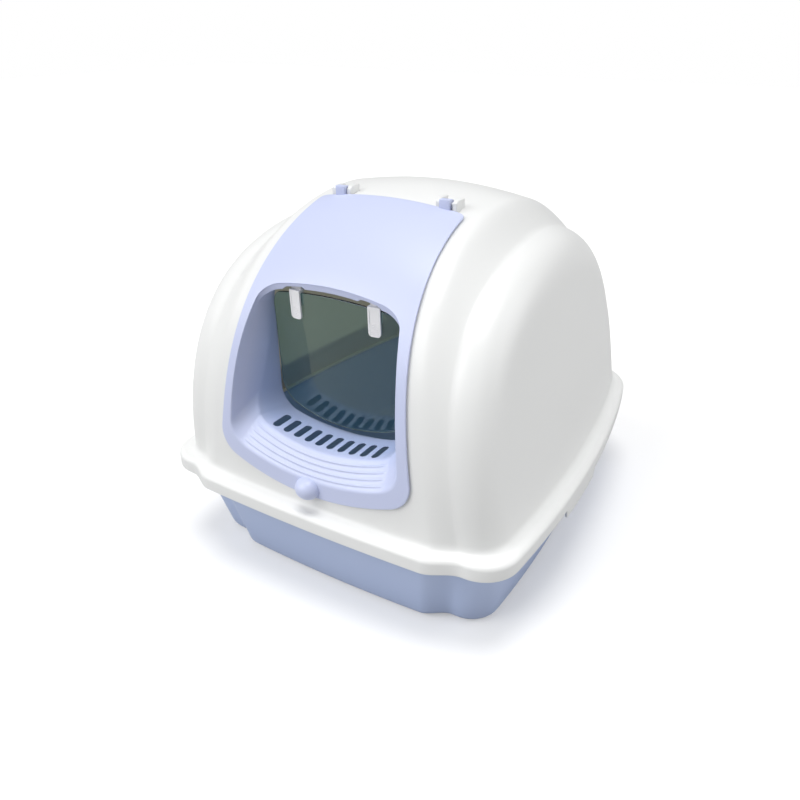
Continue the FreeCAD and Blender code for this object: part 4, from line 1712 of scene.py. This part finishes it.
@dataclass
class SwingFlap:
    """Clear smoked flap: a bowed sheet with rounded edges, hanging a little inwards."""

    half: float = 0.0736
    thickness: float = 0.0024
    edge_round: float = 0.0009
    bow: float = 0.400
    front_y: float = -0.17807
    top: float = 0.2985
    top_radius: float = 0.296
    low: float = 0.1675
    low_radius: float = 0.185
    corner_low: float = 0.024
    corner_high: float = 0.014
    pivot_y: float = -0.17157
    pivot_z: float = 0.3035
    tilt: float = math.radians(2.912)
    face_rows: int = 24
    clip_x: float = 0.0423
    room_inner: float = 0.0106
    room_outer: float = 0.0070
    room_fade: float = 0.0036
    room_low: float = 0.285
    swing_room: float = 0.0090
    swing_fade: float = 0.0014
    swing_rise: float = 0.0006
    hub_room: float = 0.0037

    def near_clips(self, spots: np.ndarray) -> np.ndarray:
        """Which points lie at the rooms over the clips, where the wall is thin.

        Args:
            spots: points of the cover.

        Returns:
            Array of truths.
        """
        beside = np.abs(np.abs(spots[:, 0]) - self.clip_x)
        is_beside = beside < self.room_inner + 2 * self.room_fade
        is_along = np.abs(spots[:, 1] - self.pivot_y) < self.swing_room
        return is_beside & is_along & (spots[:, 2] > self.room_low)

    def lift_over_clips(self, row: np.ndarray) -> np.ndarray:
        """Lifts a row of the recess's roof over the rooms that the clips swing in.

        The room's top is flat at the pivots with a half round over the clips' hubs, and it fades out at its
        borders.

        Args:
            row: points of one row of the roof.

        Returns:
            The lifted points.
        """
        off = row[:, 1] - self.pivot_y
        top = self.pivot_z + self.swing_rise + np.sqrt(np.maximum(self.hub_room ** 2 - off ** 2, 0))
        beside = np.abs(row[:, 0]) - self.clip_x
        to_border = np.minimum(self.room_outer - beside, self.room_inner + beside)
        across = np.clip(1 + to_border / self.room_fade, 0, 1)
        along = np.clip((self.swing_room - np.abs(off)) / self.swing_fade, 0, 1)
        share = across * along * (row[:, 2] > self.room_low)
        lifted = row.copy()
        lifted[:, 2] += share * np.maximum(top - row[:, 2], 0)
        return lifted

    def build(self) -> bpy.types.Object:
        """The sheet: its outline shrunk towards its middle for the faces, a half-round edge between them.

        Returns:
            The flap object.
        """
        path = ShieldPath(self.half, 0.0, self.low, self.low_radius, self.top, self.top_radius,
                          self.corner_low, self.corner_high)
        outline = path.loop()
        middle = np.array([0.0, (self.low + self.top) / 2])
        edge = self.edge_round / self.half
        turn = np.linspace(0, np.pi / 2, 6)
        shares = np.concatenate([np.linspace(0, 1 - edge, self.face_rows), 1 - edge * (1 - np.sin(turn[1:]))])
        depths = np.concatenate([np.zeros(self.face_rows), self.edge_round * (1 - np.cos(turn[1:]))])
        shares = np.concatenate([shares, shares[::-1]])
        depths = np.concatenate([depths, self.thickness - depths[::-1]])
        plan = middle + shares[:, None, None] * (outline - middle)
        x, z = plan[..., 0], plan[..., 1] - self.pivot_z
        y = self.front_y + self.bow - np.sqrt(self.bow ** 2 - x ** 2) + depths[:, None] - self.pivot_y
        turned_y = y * math.cos(self.tilt) - z * math.sin(self.tilt) + self.pivot_y
        turned_z = y * math.sin(self.tilt) + z * math.cos(self.tilt) + self.pivot_z
        grid = np.stack([x, turned_y, turned_z], axis=-1)
        return mesh_from_grid("swing_flap_sheet", grid, close_columns=True, flip=True)

    def dress(self, finishes: Finishes) -> None:
        """Builds the flap and gives it its finish.

        Args:
            finishes: the finishes.
        """
        flap = self.build()
        settle(flap, Body.FLAP, Slot.FLAP, finishes.flap)
        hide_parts("swing_flap")


@dataclass
class SmallParts:
    """Pieces whose solids are shown as they are."""

    pins: tuple[str, ...] = ("hinge_pin_left", "hinge_pin_right")
    clips: tuple[str, ...] = ("flap_clip_left", "flap_clip_right")

    def dress(self, finishes: Finishes) -> None:
        """Gives the solids their finish.

        Args:
            finishes: the finishes.
        """
        for names, finish in ((self.pins, finishes.hood), (self.clips, finishes.clip)):
            for node in names:
                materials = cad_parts[node].data.materials
                materials.clear()
                materials.append(finish)
                log.info("%s keeps its solid", node)


@dataclass(frozen=True)
class SunLight:
    """One wide, far light: direction from the object, angular size in degrees and irradiance."""

    name: str
    direction: tuple[float, float, float]
    spread: float
    strength: float

    def add(self) -> None:
        """Puts the light into the scene."""
        sun = bpy.data.lights.new(self.name, "SUN")
        sun.angle = math.radians(self.spread)
        sun.energy = self.strength
        holder = bpy.data.objects.new(self.name, sun)
        holder.rotation_euler = Vector(self.direction).to_track_quat("Z", "Y").to_euler()
        bpy.context.scene.collection.objects.link(holder)


@dataclass
class Studio:
    """Camera at the photograph's angle, pale floor and soft light."""

    azimuth: float = math.radians(31.476)
    elevation: float = math.radians(27.302)
    distance: float = 0.83078
    target: tuple[float, float, float] = (-0.01009, -0.04859, 0.13944)
    focal_pixels: float = 756.376
    image_pixels: float = 800.0
    sensor: float = 36.0
    nearest: float = 0.01
    floor_half: float = 6.0
    floor_roughness: float = 0.9
    floor_tone: float = 0.73
    floor_bounce: float = 0.50
    floor_lift: float = 0.26
    sky_low: float = 0.17
    sky_high: float = 0.50
    suns: tuple[SunLight, ...] = (SunLight("key_light", (-0.45, -0.65, 0.55), 45.0, 1.67),
                                  SunLight("top_light", (0.0, -0.05, 1.0), 28.0, 1.55),
                                  SunLight("rim_light", (1.0, 0.5, 0.42), 50.0, 0.98))

    def place_camera(self) -> None:
        """Sets the camera on a sphere round its target."""
        camera = bpy.data.cameras.new("camera")
        camera.sensor_width = self.sensor
        camera.lens = self.sensor * self.focal_pixels / self.image_pixels
        camera.clip_start = self.nearest
        holder = bpy.data.objects.new("camera", camera)
        back = Vector((math.sin(self.azimuth) * math.cos(self.elevation),
                       -math.cos(self.azimuth) * math.cos(self.elevation), math.sin(self.elevation)))
        holder.location = Vector(self.target) + back * self.distance
        holder.rotation_euler = back.to_track_quat("Z", "Y").to_euler()
        bpy.context.scene.collection.objects.link(holder)
        bpy.context.scene.camera = holder

    def lay_floor(self) -> None:
        """White floor that keeps the shadow: a diffuse face, lifted for the camera."""
        mesh = bpy.data.meshes.new("floor")
        half = self.floor_half
        corners = [(-half, -half, 0), (half, -half, 0), (half, half, 0), (-half, half, 0)]
        mesh.from_pydata(corners, [], [(0, 1, 2, 3)])
        floor = bpy.data.objects.new("floor", mesh)
        bpy.context.scene.collection.objects.link(floor)
        paper = bpy.data.materials.new("white_paper")
        paper.use_nodes = True
        tree = paper.node_tree
        shader = tree.nodes["Principled BSDF"]
        set_inputs(shader, {"Roughness": self.floor_roughness, "Emission Color": (1, 1, 1, 1)})
        path = add_node(tree, "ShaderNodeLightPath")
        lift = add_node(tree, "ShaderNodeMath", {1: self.floor_lift}, operation="MULTIPLY")
        tones = {"A": (*[self.floor_bounce] * 3, 1), "B": (*[self.floor_tone] * 3, 1)}
        tone = add_node(tree, "ShaderNodeMix", tones, data_type="RGBA")
        wire(tree, (path, "Is Camera Ray", tone, "Factor"), (tone, "Result", shader, "Base Color"),
             (path, "Is Camera Ray", lift, 0), (lift, 0, shader, "Emission Strength"))
        mesh.materials.append(paper)

    def light(self) -> None:
        """White surround for the camera, a softer sky for everything else and the wide lamps."""
        world = bpy.data.worlds.new("studio")
        bpy.context.scene.world = world
        world.use_nodes = True
        tree = world.node_tree
        background = tree.nodes["Background"]
        set_inputs(background, {"Color": (1, 1, 1, 1)})
        path, place = add_node(tree, "ShaderNodeLightPath"), add_node(tree, "ShaderNodeTexCoord")
        axes = add_node(tree, "ShaderNodeSeparateXYZ")
        sky = add_node(tree, "ShaderNodeMapRange", {"To Min": self.sky_low, "To Max": self.sky_high})
        strength = add_node(tree, "ShaderNodeMix", {"B": 1.0})
        wire(tree, (place, "Generated", axes, "Vector"), (axes, "Z", sky, "Value"),
             (sky, "Result", strength, "A"), (path, "Is Camera Ray", strength, "Factor"),
             (strength, "Result", background, "Strength"))
        for sun in self.suns:
            sun.add()

    def set_up(self) -> None:
        """Makes the whole studio."""
        bpy.context.scene.view_settings.view_transform = "Standard"
        self.place_camera()
        self.lay_floor()
        self.light()


def main() -> None:
    """Builds and dresses the box, then the studio."""
    logging.basicConfig(level=logging.INFO, format="%(name)s: %(message)s")
    finishes = Finishes()
    hinges = Hinges()
    cover = FrontCover()
    LitterTray().dress(finishes)
    Hood().dress(finishes, cover.hood_opening(), hinges)
    flap = SwingFlap()
    cover.dress(finishes, hinges, flap)
    Knob().dress(finishes)
    flap.dress(finishes)
    SmallParts().dress(finishes)
    Studio().set_up()


if __name__ == "__main__":
    main()
